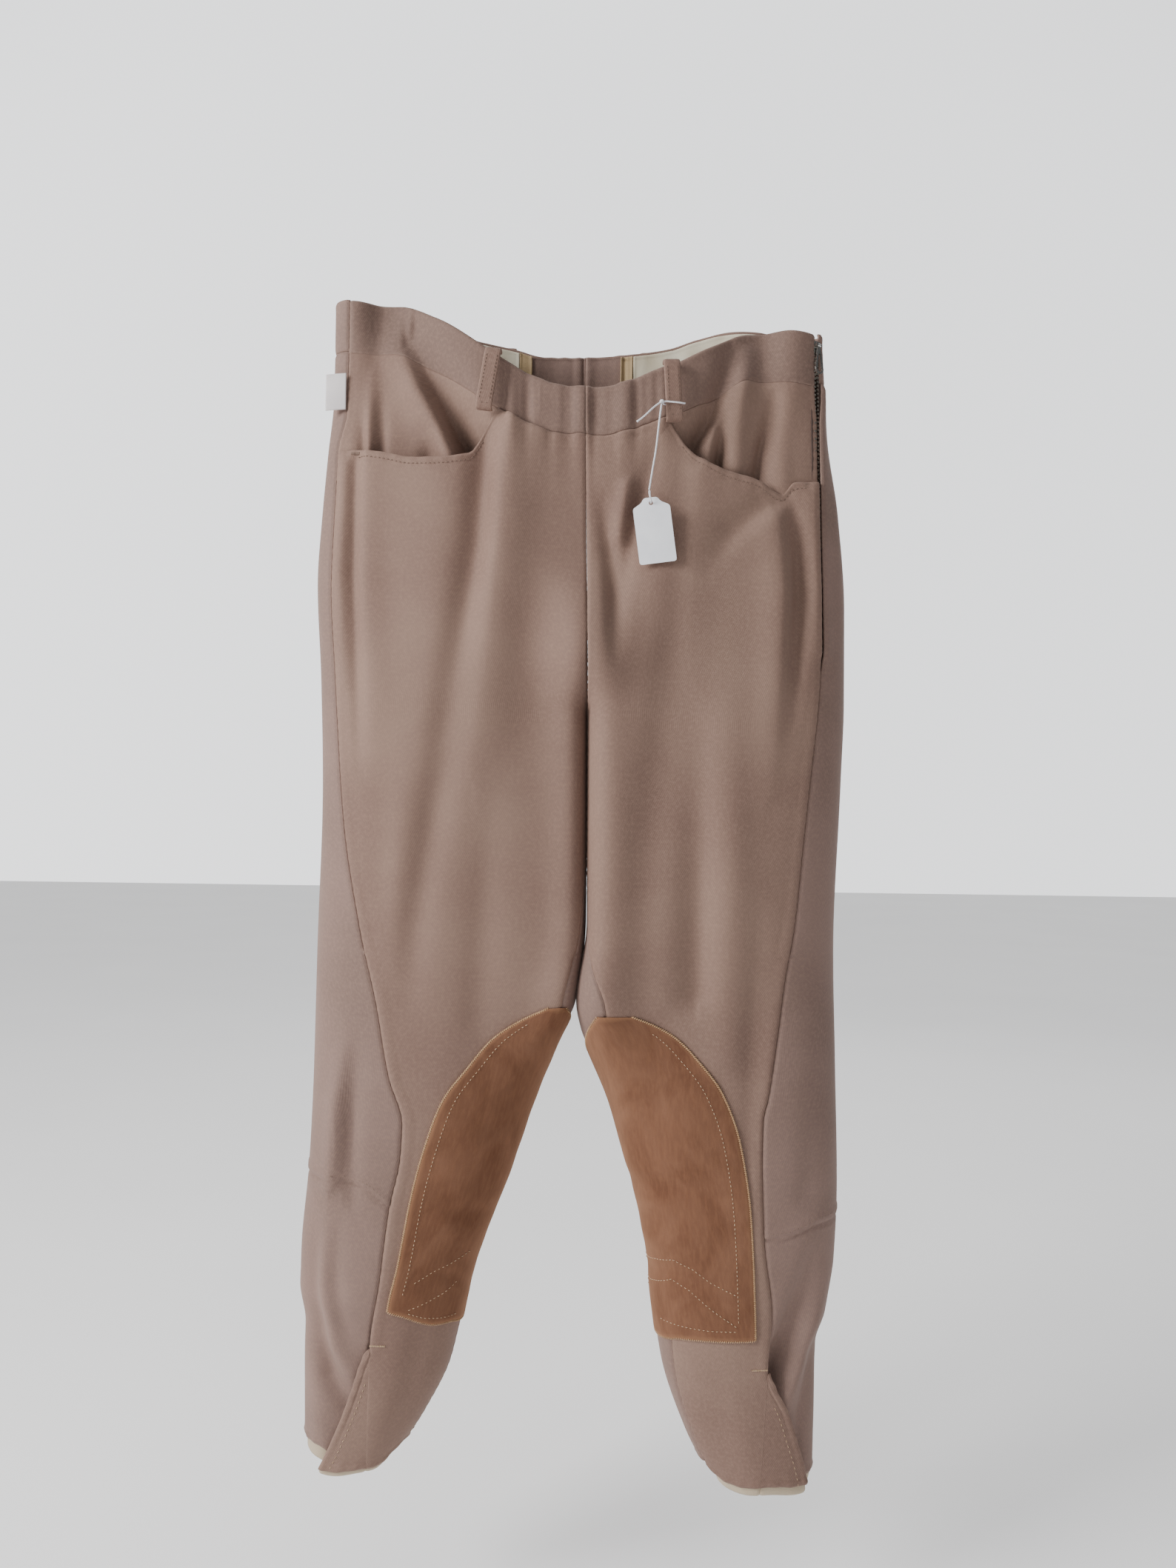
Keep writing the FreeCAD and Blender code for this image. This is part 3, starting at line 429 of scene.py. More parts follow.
FOLDS = [
    # The deep pleat from the right grip to the pocket's inner end, with a sharp ridge on its outer side.
    ("waist", "front", [(-129, -30), (-115, -60), (-102, -82), (-91, -106)],
     [2.2, 6.0, 7.5, 8.2], (16, 6)),
    ("waist", "front", [(-123, -22), (-108, -54), (-93, -80), (-81, -104)],
     [-2.4, -9.6, -13.6, -14.4], (7, 19)),
    # Small upright folds beside the right side seam.
    ("waist", "front", [(-150, -45), (-152, -105)], [0.8, 3.4], (5, 6)),
    ("waist", "front", [(-144, -60), (-146, -108)], [-0.4, -4.4], (4, 5)),
    ("waist", "front", [(-157, -75), (-157, -108)], [-0.4, -3.2], (4, 4)),
    ("waist", "front", [(-109, -90), (-108, -108)], [-1.5, -5.5], (8, 8)),
    # The left pocket facing.
    ("waist", "front", [(108, -24), (102, -48), (90, -78), (77, -100)], [-1.9, -5.6, -10.4, -9.6], (9, 5)),
    ("waist", "front", [(118, -30), (113, -60), (110, -110)], [1.6, 4.5, 3.8], (8, 9)),
    ("waist", "front", [(101, -70), (99, -118)], [-2.2, -7.5], (5, 4)),
    ("waist", "front", [(94, -84), (90, -108)], [1.7, 3.1], (5, 5)),
    ("waist", "front", [(136, -58), (132, -88), (126, -124)], [-1.2, -5.4, -6.3], (5, 6)),
    ("waist", "front", [(146, -62), (142, -122)], [0.8, 2.0], (8, 8)),
    # Below the right pocket: the streak under its inner end, fading down the thigh.
    ("front", "front", [(-64, -86), (-68, -122), (-70, -170), (-80, -230), (-92, -300)],
     [-4.6, -6.2, -4.9, -2.7, -0.8], (11, 8)),
    ("front", "front", [(-52, -95), (-54, -150), (-60, -230), (-70, -330)], [5.6, 6.6, 5.1, 1.0], (12, 22)),
    ("front", "front", [(-90, -118), (-98, -200), (-108, -300), (-116, -420), (-120, -520)],
     [0.8, 1.6, 2.2, 1.8, 0.5], (26, 16)),
    ("front", "front", [(-88, -290), (-99, -359), (-111, -436), (-116, -500)],
     [-1.1, -4.0, -4.0, -1.0], (12, 12)),
    ("front", "front", [(-132, -300), (-134, -400), (-128, -500)], [-0.4, -1.6, -0.3], (12, 10)),
    # Beside the right side seam.
    ("front", "front", [(-152, -112), (-150, -195), (-144, -262), (-140, -310)], [1.8, 2.6, 1.6, 0.2], (7, 12)),
    ("front back", "front", [(-161, -108), (-160, -192), (-155, -266), (-151, -330)],
     [-2.6, -3.2, -2.2, -0.4], (4, 6)),
    ("front back", "front", [(-168, -112), (-169, -190), (-164, -270)], [1.4, 2.0, 0.8], (4, 4)),
    # Below the left pocket.
    ("front", "front", [(146, -128), (130, -140), (108, -158), (92, -180)], [-2.3, -4.1, -3.4, -0.8], (12, 7)),
    ("front", "front", [(150, -138), (155, -165), (156, -200), (153, -240), (149, -290)],
     [-2.0, -5.0, -6.0, -4.5, -1.0], (9, 5)),
    ("front", "front", [(136, -150), (140, -200), (138, -260), (132, -340)], [2.2, 4.2, 3.6, 0.8], (14, 9)),
    ("front", "front", [(162, -128), (163, -200), (160, -260)], [1.5, 2.0, 0.6], (5, 6)),
    ("front", "front", [(84, -118), (80, -170), (78, -260)], [2.4, 1.6, 0.5], (9, 16)),
    # The forked fold under the left belt loop.
    ("front", "front", [(16, -140), (20, -170), (24, -205), (26, -250)], [-1.2, -3.9, -4.2, -0.9], (6, 6)),
    ("front", "front", [(52, -104), (44, -130), (36, -160), (30, -195), (27, -240)],
     [-0.6, -2.6, -3.2, -2.8, -0.6], (8, 6)),
    ("front", "front", [(32, -130), (27, -165)], [3.1, 2.7], (5, 6)),
    ("front", "front", [(62, -150), (52, -200), (46, -280), (44, -360)], [1.0, 3.2, 2.9, 0.6], (14, 16)),
    # Soft upright waves down the left thigh.
    ("front", "front", [(84, -300), (86, -400), (86, -480)], [-0.7, -3.1, -3.7], (12, 9)),
    ("front", "front", [(104, -280), (106, -400), (104, -520)], [0.9, 3.3, 2.1], (14, 14)),
    ("front", "front", [(64, -330), (62, -420), (60, -485)], [0.4, 1.8, 1.4], (13, 12)),
    ("front", "front", [(128, -420), (124, -520), (122, -600)], [-0.3, -1.5, -0.8], (8, 8)),
    # Inner right thigh.
    ("front", "front", [(-30, -300), (-28, -400), (-34, -480)], [0.5, 1.8, 1.0], (16, 14)),
    ("front", "front", [(-58, -330), (-62, -420), (-66, -500)], [-0.5, -2.2, -1.6], (12, 13)),
    # Back of the knee, seen beyond the side seam.
    ("back", "front", [(-157, -512), (-162, -560), (-166, -618)], [0.5, 4.4, 3.4], (9, 4)),
    ("back", "front", [(-151, -530), (-155, -580), (-153, -628)], [-0.5, -3.4, -1.9], (4, 7)),
    ("back", "front", [(168, -560), (166, -620)], [-0.3, -1.6], (9, 9)),
    # Right calf.
    ("back", "front", [(-177, -648), (-183, -690), (-181, -730), (-171, -757), (-157, -776)],
     [-1.0, -3.6, -4.2, -6.0, -3.6], (8, 8)),
    ("back", "front", [(-162, -640), (-165, -680), (-160, -720)], [-0.5, -2.6, -0.8], (6, 6)),
    ("back", "front", [(-171, -640), (-173, -690), (-166, -735), (-155, -752)], [0.6, 2.6, 3.0, 1.5], (6, 8)),
    ("back", "front", [(-186, -745), (-178, -785), (-172, -830)], [0.5, 2.4, 1.0], (9, 9)),
    # Left calf: one deep diagonal fold up from the slit.
    ("back", "front", [(173, -655), (163, -690), (152, -722), (142, -752)], [-0.8, -4.5, -7.0, -8.0], (7, 11)),
    ("back", "front", [(183, -680), (172, -715), (163, -748), (153, -776)], [0.6, 2.8, 3.4, 2.0], (9, 6)),
    ("back", "front", [(186, -715), (177, -750), (168, -782), (164, -825)], [-0.4, -2.8, -3.0, -1.4], (6, 9)),
    # Cuffs.
    ("front", "front", [(-128, -735), (-136, -780), (-140, -826)], [0.3, 1.4, 0.8], (12, 12)),
    ("front", "front", [(112, -735), (122, -790), (132, -836)], [0.3, 1.6, 0.8], (12, 12)),
    ("front", "front", [(-104, -726), (-112, -770), (-124, -812)], [-0.8, -1.5, -0.5], (9, 9)),
    # Across the suede behind the knees.
    ("front back patch", "front", [(-60, -640), (-90, -632), (-116, -640)], [-0.9, -1.2, -0.2], (7, 7)),
    ("front back patch", "front", [(40, -622), (70, -614), (104, -622)], [-1.3, -1.5, -0.2], (7, 7)),
    ("front back patch", "front", [(38, -650), (64, -660), (92, -650)], [0.6, 1.2, 0.3], (9, 9)),
    ("front back patch", "front", [(52, -688), (70, -678), (90, -692)], [-0.9, -1.2, -0.4], (5, 6)),
    ("front back patch", "front", [(-72, -700), (-84, -684), (-98, -676)], [-0.8, -1.2, -0.2], (5, 5)),
    # The seat and the backs of the legs, which hang in soft upright waves.
    ("back", "back", [(-40, -60), (-46, -180), (-58, -290), (-70, -400)], [0.6, 2.2, 2.6, 0.8], (18, 22)),
    ("back", "back", [(-84, -70), (-88, -200), (-96, -330), (-104, -470)], [-0.8, -2.4, -2.4, -0.6], (16, 18)),
    ("back", "back", [(-128, -60), (-132, -220), (-134, -380)], [0.8, 2.4, 1.0], (16, 18)),
    ("back", "back", [(42, -60), (48, -180), (60, -290), (74, -400)], [0.6, 2.2, 2.6, 0.8], (22, 18)),
    ("back", "back", [(86, -70), (90, -200), (98, -330), (106, -470)], [-0.8, -2.4, -2.4, -0.6], (18, 16)),
    ("back", "back", [(130, -60), (134, -220), (136, -380)], [0.8, 2.4, 1.0], (18, 16)),
    ("back", "back", [(-18, -262), (-60, -300), (-112, -318)], [-3.0, -3.6, -0.8], (12, 12)),
    ("back", "back", [(20, -262), (62, -304), (114, -324)], [-3.0, -3.6, -0.8], (12, 12)),
    ("back", "back", [(-40, -298), (-80, -344), (-120, -360)], [-1.2, -2.4, -0.5], (12, 12)),
    ("back", "back", [(42, -296), (80, -346), (120, -366)], [-1.2, -2.4, -0.5], (12, 12)),
    ("back", "back", [(-80, -586), (-120, -598), (-160, -590)], [-2.2, -3.4, -1.2], (8, 8)),
    ("back", "back", [(-78, -618), (-124, -622), (-164, -634)], [-1.4, -2.6, -1.0], (8, 8)),
    ("back", "back", [(70, -590), (118, -600), (160, -592)], [-2.2, -3.4, -1.2], (8, 8)),
    ("back", "back", [(68, -622), (116, -630), (162, -640)], [-1.4, -2.6, -1.0], (8, 8)),
    ("back", "back", [(-150, -660), (-140, -740), (-150, -835)], [0.8, 2.2, 1.2], (14, 14)),
    ("back", "back", [(140, -660), (132, -740), (142, -835)], [0.8, 2.2, 1.2], (14, 14)),
]


FRONT_FOLDS = 1.25        # strength of the folds on the front


def fold_height(x, z, line, heights, widths):
    """The height of one fold at those places, from the part of its line that is nearest."""
    best = np.full(x.shape, 1e9)
    height = np.zeros(x.shape)
    for (ax, az), (bx, bz), ha, hb in zip(line, line[1:], heights, heights[1:]):
        dx, dz = bx - ax, bz - az
        t = np.clip(((x - ax) * dx + (z - az) * dz) / (dx * dx + dz * dz), 0, 1)
        px, pz = x - ax - t * dx, z - az - t * dz
        distance = np.hypot(px, pz)
        width = widths[0] + (widths[1] - widths[0]) * ease(0.5 + px / 4)
        value = (ha + (hb - ha) * t) * bump(distance, width)
        closer = distance < best
        height = np.where(closer, value, height)
        best = np.where(closer, distance, best)
    return height


def gathers(x, z):
    """The ripples that the elastic makes in the front of the waistband, and just below it."""
    reach = np.exp(-((x - 2) / 66) ** 4)
    waves = 1.5 * np.sin(x * 0.235 + 0.9) + 0.9 * np.sin(x * 0.41 + 2.1) + 0.4 * np.sin(x * 0.83 + z * 0.02)
    waves = waves - 2.6 * bump(x - 10, 3.6) - 2.2 * bump(x + 21, 4.6)
    depth = 0.25 + 0.75 * np.exp(-(((z + 74) / 24) ** 2))
    return reach * waves * depth * ease((z + 150) / 60)


def relief(points, piece):
    """How far folds push the cloth out at those points of its smooth shape."""
    x, y, z = points[..., 0], points[..., 1], points[..., 2]
    height = 0.35 * np.sin(x / 13 + z / 47 + 1) + 0.3 * np.sin(x / 7.9 - z / 83) * np.sin(z / 59 + x / 40)
    in_front = ease((10 - y) / 20)
    for names, face, line, heights, widths in FOLDS:
        if piece not in names.split():
            continue
        weight = FRONT_FOLDS * in_front if face == "front" else 1 - in_front
        height = height + weight * fold_height(x, z, line, heights, widths)
    if piece in ("front", "waist"):
        height = height + in_front * gathers(x, z)
    return height


def cloth(side, turn, z, piece, inset=0.0):
    """Points and outward directions of one piece of cloth, with its folds."""
    base = side.skin(turn, z)
    out = side.outward(turn, z)
    return base + out * (relief(base, piece) - inset)[..., None], out


# Panels --------------------

SOFT_EDGES = ("soft",) * 4
RIM_ROUNDING = 0.3        # how far a cut edge bulges, as a share of the cloth's thickness
FINE_STEPS = [0.0, 0.45, 0.95, 1.6, 2.5, 3.6, 5.0, 6.5, 8.0, 9.8]   # columns near an edge, in millimetres


def column_shares(width, columns):
    """Shares of the way across a panel, closer together near its two edges."""
    near = [s / width for s in FINE_STEPS if s < width * 0.3]
    middle = np.linspace(near[-1], 1 - near[-1], max(columns, 2))
    return np.concatenate([near[:-1], middle, 1 - np.array(near[-2::-1])])


def lengths_along(points, axis):
    """Distance from the first point of each line of a grid, along rows (axis 1) or columns (axis 0)."""
    steps = np.linalg.norm(np.diff(points, axis=axis), axis=-1)
    start = np.zeros_like(np.take(steps, [0], axis))
    return np.concatenate([start, np.cumsum(steps, axis)], axis)


def limit(edge, across):
    return edge(across) if callable(edge) else np.full(np.shape(across), float(edge))


def edge_height(edge, distance, along):
    """The shape of a panel near one of its edges."""
    if edge == "seam":
        return -0.85 * bump(distance, 1.3) + 0.16 * bump(distance, 5) * np.sin(along * 0.9)
    if edge == "allowance":
        ridge = 0.42 * (1 - ease((distance - 6.4) / 2.2)) * ease(distance / 1.6)
        return ridge - 1.15 * bump(distance, 1.35) + 0.16 * bump(distance, 6) * np.sin(along * 0.8)
    if edge == "hem":
        turned = 0.4 * (1 - ease((distance - 4) / 1.4))
        stitched = 0.45 * bump(distance - 4.6, 0.8)
        ripple = 0.22 * np.sin(along * 0.55) * bump(distance, 7)
        return turned - stitched - 0.5 * bump(distance, 0.9) + ripple
    if edge == "soft":
        return -0.7 * bump(distance, 1.1)
    return 0 * distance


SEAM_SHOWN = {"right": 0.05, "left": 0.3}   # share of the waistband's seam left over a pocket facing
TURN_LENGTH = 95.0        # roughly how long a quarter of the way round a leg is


class Panel:
    """A grid of points on the cloth between two limits round the tube and two heights."""

    def __init__(self, side, first, last, bottom, top, piece, inset=0.0, rows=60, columns=50,
                 edges=("seam",) * 4, lift=None, is_band=False):
        middle = (limit(bottom, np.array(120.0)) + limit(top, np.array(120.0))) * 0.5
        width = abs(float(last(middle) - first(middle))) * TURN_LENGTH
        shares = column_shares(max(width, 8), columns)
        self.edges = edges
        self.is_band = is_band
        heights = [self.height_of(side, first, last, shares, edge) for edge in (bottom, top)]
        up = np.linspace(0, 1, rows + 1)[:, None]
        self.z = heights[0] + up * (heights[1] - heights[0])
        self.turn = first(self.z) + shares * (last(self.z) - first(self.z))
        base = side.skin(self.turn, self.z)
        self.side = side
        self.piece = piece
        inset = inset(self.turn, self.z) if callable(inset) else inset
        self.points, self.out = cloth(side, self.turn, self.z, piece, inset + 0 * self.z)
        self.round_it = lengths_along(base, 1)
        self.up_it = lengths_along(base, 0)
        self.points = self.points + self.out * self.edge_relief()[..., None]
        if lift is not None:
            self.points = self.points + self.out * lift(self)[..., None]

    @staticmethod
    def height_of(side, first, last, shares, edge):
        z = limit(edge, np.full(shares.shape, GRIP_SPOT[side.name]))
        for _ in range(10):
            turn = first(z) + shares * (last(z) - first(z))
            z = limit(edge, side.sign * side.skin(turn, z)[..., 0])
        return z

    def edge_relief(self):
        width = self.round_it[:, -1:]
        height = self.up_it[-1:, :]
        first, last, bottom, top = self.edges
        return (edge_height(first, self.round_it, self.up_it)
                + edge_height(last, width - self.round_it, self.up_it)
                + edge_height(bottom, self.up_it, self.round_it) * self.band_seam("bottom")
                + edge_height(top, height - self.up_it, self.round_it) * self.band_seam("top"))

    def band_seam(self, edge):
        """The front waistband's lower seam is hardly to be seen where it passes over the pocket facings."""
        if self.piece != "waist" or self.is_band != (edge == "bottom"):
            return 1.0
        across = self.side.sign * self.points[..., 0]
        shown = SEAM_SHOWN[self.side.name]
        return 1 - (1 - shown) * ease((across - POCKET_START[self.side.name] + 6) / 14)

    def flat_size(self):
        """Width, length and area of the cut, in metres and square metres."""
        rows = np.linalg.norm(np.diff(self.points, axis=1), axis=-1)
        columns = np.linalg.norm(np.diff(self.points, axis=0), axis=-1)
        mean_rows = (rows[1:] + rows[:-1]) / 2
        mean_columns = (columns[:, 1:] + columns[:, :-1]) / 2
        area = float((mean_rows * mean_columns).sum())
        width = max(math.ceil(rows.sum(axis=1).max() * 10) / 10, 10.0)
        length = math.ceil(max(columns.sum(axis=0).max(), area / width) * 10) / 10
        return (width * MM, length * MM), min(area, 0.999 * width * length) * MM * MM


def grid_normals(points, out):
    along = np.gradient(points, axis=1)
    up = np.gradient(points, axis=0)
    normal = unit(np.cross(along, up))
    facing = np.sign((normal * out).sum(-1, keepdims=True))
    return normal * np.where(facing == 0, 1, facing)


def border_of(rows, columns):
    """Indices round the edge of a grid, and for each the grid point next inside."""
    index = np.arange(rows * columns).reshape(rows, columns)
    loop = list(index[0, :-1]) + list(index[:-1, -1]) + list(index[-1, :0:-1]) + list(index[:0:-1, 0])
    inner = index.copy()
    inner[0, :] = index[1, :]
    inner[-1, :] = index[-2, :]
    inner[:, 0] = inner[:, 1]
    inner[:, -1] = inner[:, -2]
    flat = inner.ravel()
    return loop, [flat[i] for i in loop]


def grid_faces(rows, columns):
    index = np.arange(rows * columns).reshape(rows, columns)
    corners = [index[:-1, :-1], index[:-1, 1:], index[1:, 1:], index[1:, :-1]]
    return np.stack([c.ravel() for c in corners], -1)


def edge_distance(points, edges):
    """Distance of every grid point from the nearest of the cut edges."""
    across, up = lengths_along(points, 1), lengths_along(points, 0)
    ways = [across, lengths_along(points[:, ::-1], 1)[:, ::-1], up, lengths_along(points[::-1], 0)[::-1]]
    cut = [way for way, edge in zip(ways, edges) if edge is not None]
    return np.minimum.reduce(cut) if cut else across + 50


def shell_faces(rows, columns, loop, outer, out):
    """Faces of the outer and inner sheets and of the rounded rim between them."""
    count = rows * columns
    faces = grid_faces(rows, columns)
    a, b, c = outer[faces[0][0]], outer[faces[0][1]], outer[faces[0][3]]
    forward = np.dot(np.cross(b - a, c - a), out.reshape(-1, 3)[faces[0][0]]) > 0
    if not forward:
        faces = faces[:, ::-1]
    result = [tuple(f) for f in faces] + [tuple(count + i for i in f[::-1]) for f in faces]
    rings = [loop, [2 * count + k for k in range(len(loop))], [count + k for k in loop]]
    for i in range(len(loop)):
        j = (i + 1) % len(loop)
        for low, high in zip(rings, rings[1:]):
            quad = (low[i], high[i], high[j], low[j])
            result.append(quad if forward else quad[::-1])
    return result


def shell(name, points, out, thickness, material, coords, kept_normals=None, edges=SOFT_EDGES):
    """A sheet with thickness and rounded edges, whose outer face passes through a grid of points."""
    rows, columns = points.shape[:2]
    normal = grid_normals(points, out)
    if kept_normals is not None:
        normal = np.where(np.isnan(kept_normals), normal, kept_normals)
    outer = points.reshape(-1, 3)
    inner = (points - normal * thickness).reshape(-1, 3)
    loop, inside = border_of(rows, columns)
    away = outer[loop] - outer[inside]
    level = normal.reshape(-1, 3)[inside]
    away = unit(away - level * (away * level).sum(-1, keepdims=True))
    rim = (outer[loop] + inner[loop]) / 2 + away * thickness * RIM_ROUNDING
    faces = shell_faces(rows, columns, loop, outer, out)
    obj = mesh_object(name, np.concatenate([outer, inner, rim]), faces, material)
    flat = coords.reshape(-1, 2) * MM
    both = np.concatenate([flat, flat, flat[loop]])
    set_attribute(obj, "cloth_at", np.column_stack([both, np.zeros(len(both))]), "FLOAT_VECTOR")
    edge = edge_distance(points, edges).ravel()
    set_attribute(obj, "edge_at", np.concatenate([edge, edge, edge[loop]]) * MM)
    if kept_normals is not None:
        keep_normals(obj, normal.reshape(-1, 3), ~np.isnan(kept_normals).any(-1).ravel(), rows * columns)
    return obj


def keep_normals(obj, normals, kept, count):
    """Gives the vertices on a join without a seam the normals of the whole surface."""
    mesh = obj.data
    found = np.array([v.vector[:] for v in mesh.vertex_normals])
    found[:count][kept] = normals[kept]
    found[count:2 * count][kept] = -normals[kept]
    mesh.normals_split_custom_set_from_vertices([tuple(v) for v in found])


def panel_piece(name, panel, thickness, material, joins=()):
    """A panel as an object. joins are its edges that continue another piece without a seam."""
    kept = None
    if joins:
        kept = np.full(panel.points.shape, np.nan)
        for edge in joins:
            kept[edge_slice(edge)] = join_normals(panel, edge)
    coords = np.stack([panel.round_it - panel.round_it[:, -1:] / 2 + panel.side.sign * 300, panel.z], -1)
    return shell(name, panel.points, panel.out, thickness, material, coords, kept, panel.edges)


def edge_slice(edge):
    return {"bottom": np.s_[0, :], "top": np.s_[-1, :], "first": np.s_[:, 0], "last": np.s_[:, -1]}[edge]


def join_normals(panel, edge):
    """Normals of the folded cloth along an edge, from points either side of it."""
    turn, z = panel.turn[edge_slice(edge)], panel.z[edge_slice(edge)]

    def at(turn_step, height_step):
        return cloth(panel.side, turn + turn_step, z + height_step, panel.piece)[0]

    ahead = at(0.01, 0.0) - at(-0.01, 0.0)
    up = at(0.0, 1.0) - at(0.0, -1.0)
    return unit(np.cross(ahead, up) * -panel.side.sign)


# Stitches --------------------

RING_AT = [-0.5, -0.32, 0.0, 0.32, 0.5]
RING_LIFT = [-0.32, 0.1, 0.22, 0.1, -0.32]
RING_SIZE = [0.45, 0.95, 1.0, 0.95, 0.45]
RING_SIDES = 6


def resampled(points, outs, spacing):
    points, outs = np.asarray(points, float), np.asarray(outs, float)
    along = np.concatenate([[0], np.cumsum(np.linalg.norm(np.diff(points, axis=0), axis=1))])
    count = max(int(along[-1] / spacing), 2)
    at = (np.arange(count) + 0.5) * along[-1] / count
    new = np.stack([np.interp(at, along, points[:, k]) for k in range(3)], -1)
    out = unit(np.stack([np.interp(at, along, outs[:, k]) for k in range(3)], -1))
    ahead = np.stack([np.interp(at + 0.4, along, points[:, k]) for k in range(3)], -1)
    behind = np.stack([np.interp(at - 0.4, along, points[:, k]) for k in range(3)], -1)
    return new, out, unit(ahead - behind)


def stitch_mesh(name, runs, material, spacing=3.0, length=2.2, radius=0.26, slant=0.0, seed=1):
    """Every stitch of some seams as one mesh. A run is (points, outward directions)."""
    rng = random.Random(seed)
    vertices, faces = [], []
    for points, outs in runs:
        for at, out, tangent in zip(*resampled(points, outs, spacing)):
            across = unit(np.cross(out, tangent))
            turn = math.radians(slant + rng.uniform(-7, 7))
            way = unit(tangent * math.cos(turn) + across * math.sin(turn))
            beside = unit(np.cross(out, way))
            size = length * rng.uniform(0.9, 1.06)
            start = len(vertices)
            for s, lift, wide in zip(RING_AT, RING_LIFT, RING_SIZE):
                centre = at + way * (s * size) + out * lift
                for k in range(RING_SIDES):
                    angle = 2 * math.pi * k / RING_SIDES
                    vertices.append(centre + (beside * math.cos(angle) + out * math.sin(angle)) * radius * wide)
            for ring in range(len(RING_AT) - 1):
                low = start + ring * RING_SIDES
                for k in range(RING_SIDES):
                    j = (k + 1) % RING_SIDES
                    faces.append((low + k, low + RING_SIDES + k, low + RING_SIDES + j, low + j))
            faces.append(tuple(start + k for k in range(RING_SIDES)))
            last = start + (len(RING_AT) - 1) * RING_SIDES
            faces.append(tuple(last + k for k in reversed(range(RING_SIDES))))
    return mesh_object(name, vertices, faces, material)


def tube_mesh(name, points, radius, material, sides=8):
    """A round thread or piping along a line of points, with closed ends."""
    points = np.asarray(points, float)
    tangent = unit(np.gradient(points, axis=0))
    side_way = np.array([0.0, 0.0, 1.0])
    vertices, faces = [], []
    for i, (at, way) in enumerate(zip(points, tangent)):
        side_way = unit(side_way - way * np.dot(side_way, way))
        other = np.cross(way, side_way)
        size = radius(i / (len(points) - 1)) if callable(radius) else radius
        for k in range(sides):
            angle = 2 * math.pi * k / sides
            vertices.append(at + (side_way * math.cos(angle) + other * math.sin(angle)) * size)
    for i in range(len(points) - 1):
        for k in range(sides):
            j = (k + 1) % sides
            faces.append((i * sides + k, i * sides + j, (i + 1) * sides + j, (i + 1) * sides + k))
    faces.append(tuple(reversed(range(sides))))
    last = (len(points) - 1) * sides
    faces.append(tuple(last + k for k in range(sides)))
    return mesh_object(name, vertices, faces, material)


def merged(name, objects):
    """Joins meshes into the first one."""
    vertices, faces, shift = [], [], 0
    material = objects[0].data.materials[0] if objects[0].data.materials else None
    for obj in objects:
        vertices += [np.array(v.co) / MM for v in obj.data.vertices]
        faces += [tuple(i + shift for i in p.vertices) for p in obj.data.polygons]
        shift += len(obj.data.vertices)
        bpy.data.objects.remove(obj)
    return mesh_object(name, vertices, faces, material)


# Materials --------------------

def linear(red, green, blue):
    """A colour given as screen values from 0 to 255."""
    def one(value):
        value /= 255
        return value / 12.92 if value <= 0.04045 else ((value + 0.055) / 1.055) ** 2.4
    return one(red), one(green), one(blue), 1.0


class Nodes:
    """Short calls for building one material's nodes."""

    def __init__(self, name):
        self.material = bpy.data.materials.new(name)
        self.material.use_nodes = True
        self.tree = self.material.node_tree
        self.shader = self.tree.nodes["Principled BSDF"]

    def add(self, kind, inputs=(), **settings):
        node = self.tree.nodes.new(kind)
        for key, value in settings.items():
            setattr(node, key, value)
        for key, value in dict(inputs).items():
            self.put(value, node.inputs[key])
        return node

    def put(self, value, socket):
        if isinstance(value, bpy.types.NodeSocket):
            self.tree.links.new(value, socket)
        else:
            socket.default_value = value

    def attribute(self, name, output="Vector"):
        return self.add("ShaderNodeAttribute", attribute_name=name).outputs[output]

    def math(self, operation, *values):
        node = self.add("ShaderNodeMath", operation=operation)
        for socket, value in zip(node.inputs, values):
            self.put(value, socket)
        return node.outputs[0]

    def noise(self, vector, scale, detail=2.0, roughness=0.5, distortion=0.0):
        node = self.add("ShaderNodeTexNoise", {"Vector": vector, "Scale": scale, "Detail": detail,
                                               "Roughness": roughness, "Distortion": distortion})
        return node.outputs["Fac"]

    def turned(self, vector, degrees, scale=(1, 1, 1)):
        return self.add("ShaderNodeMapping", {"Vector": vector, "Rotation": (0, 0, math.radians(degrees)),
                                              "Scale": scale}).outputs[0]

    def wave(self, vector, period, distortion=0.0, detail_scale=1.0):
        node = self.add("ShaderNodeTexWave", {"Vector": vector, "Scale": 0.314 / period,
                                              "Distortion": distortion, "Detail": 2.0,
                                              "Detail Scale": detail_scale}, bands_direction="X")
        return node.outputs["Fac"]

    def mix(self, amount, first, second, blend="MIX"):
        node = self.add("ShaderNodeMix", data_type="RGBA", blend_type=blend)
        self.put(amount, node.inputs[0])
        self.put(first, node.inputs[6])
        self.put(second, node.inputs[7])
        return node.outputs[2]

    def tint(self, colour, value, low, high, amount, tone):
        """Blends a tone into a colour, from none where value is low to that amount where it is high."""
        return self.mix(self.math("MULTIPLY", self.steps(value, low, high), amount), colour, tone)

    def steps(self, value, low, high):
        """0 where value is low, 1 where it is high."""
        return self.add("ShaderNodeMapRange", {"Value": value, "From Min": low, "From Max": high}).outputs[0]

    def bump(self, height, strength, distance, normal=None):
        inputs = {"Height": height, "Strength": strength, "Distance": distance}
        if normal is not None:
            inputs["Normal"] = normal
        return self.add("ShaderNodeBump", inputs).outputs[0]

    def finish(self, **inputs):
        names = {"colour": "Base Color", "roughness": "Roughness", "normal": "Normal", "metallic": "Metallic",
                 "sheen": "Sheen Weight", "sheen_roughness": "Sheen Roughness", "sheen_tint": "Sheen Tint",
                 "specular": "Specular IOR Level"}
        for key, value in inputs.items():
            self.put(value, self.shader.inputs[names[key]])
        return self.material


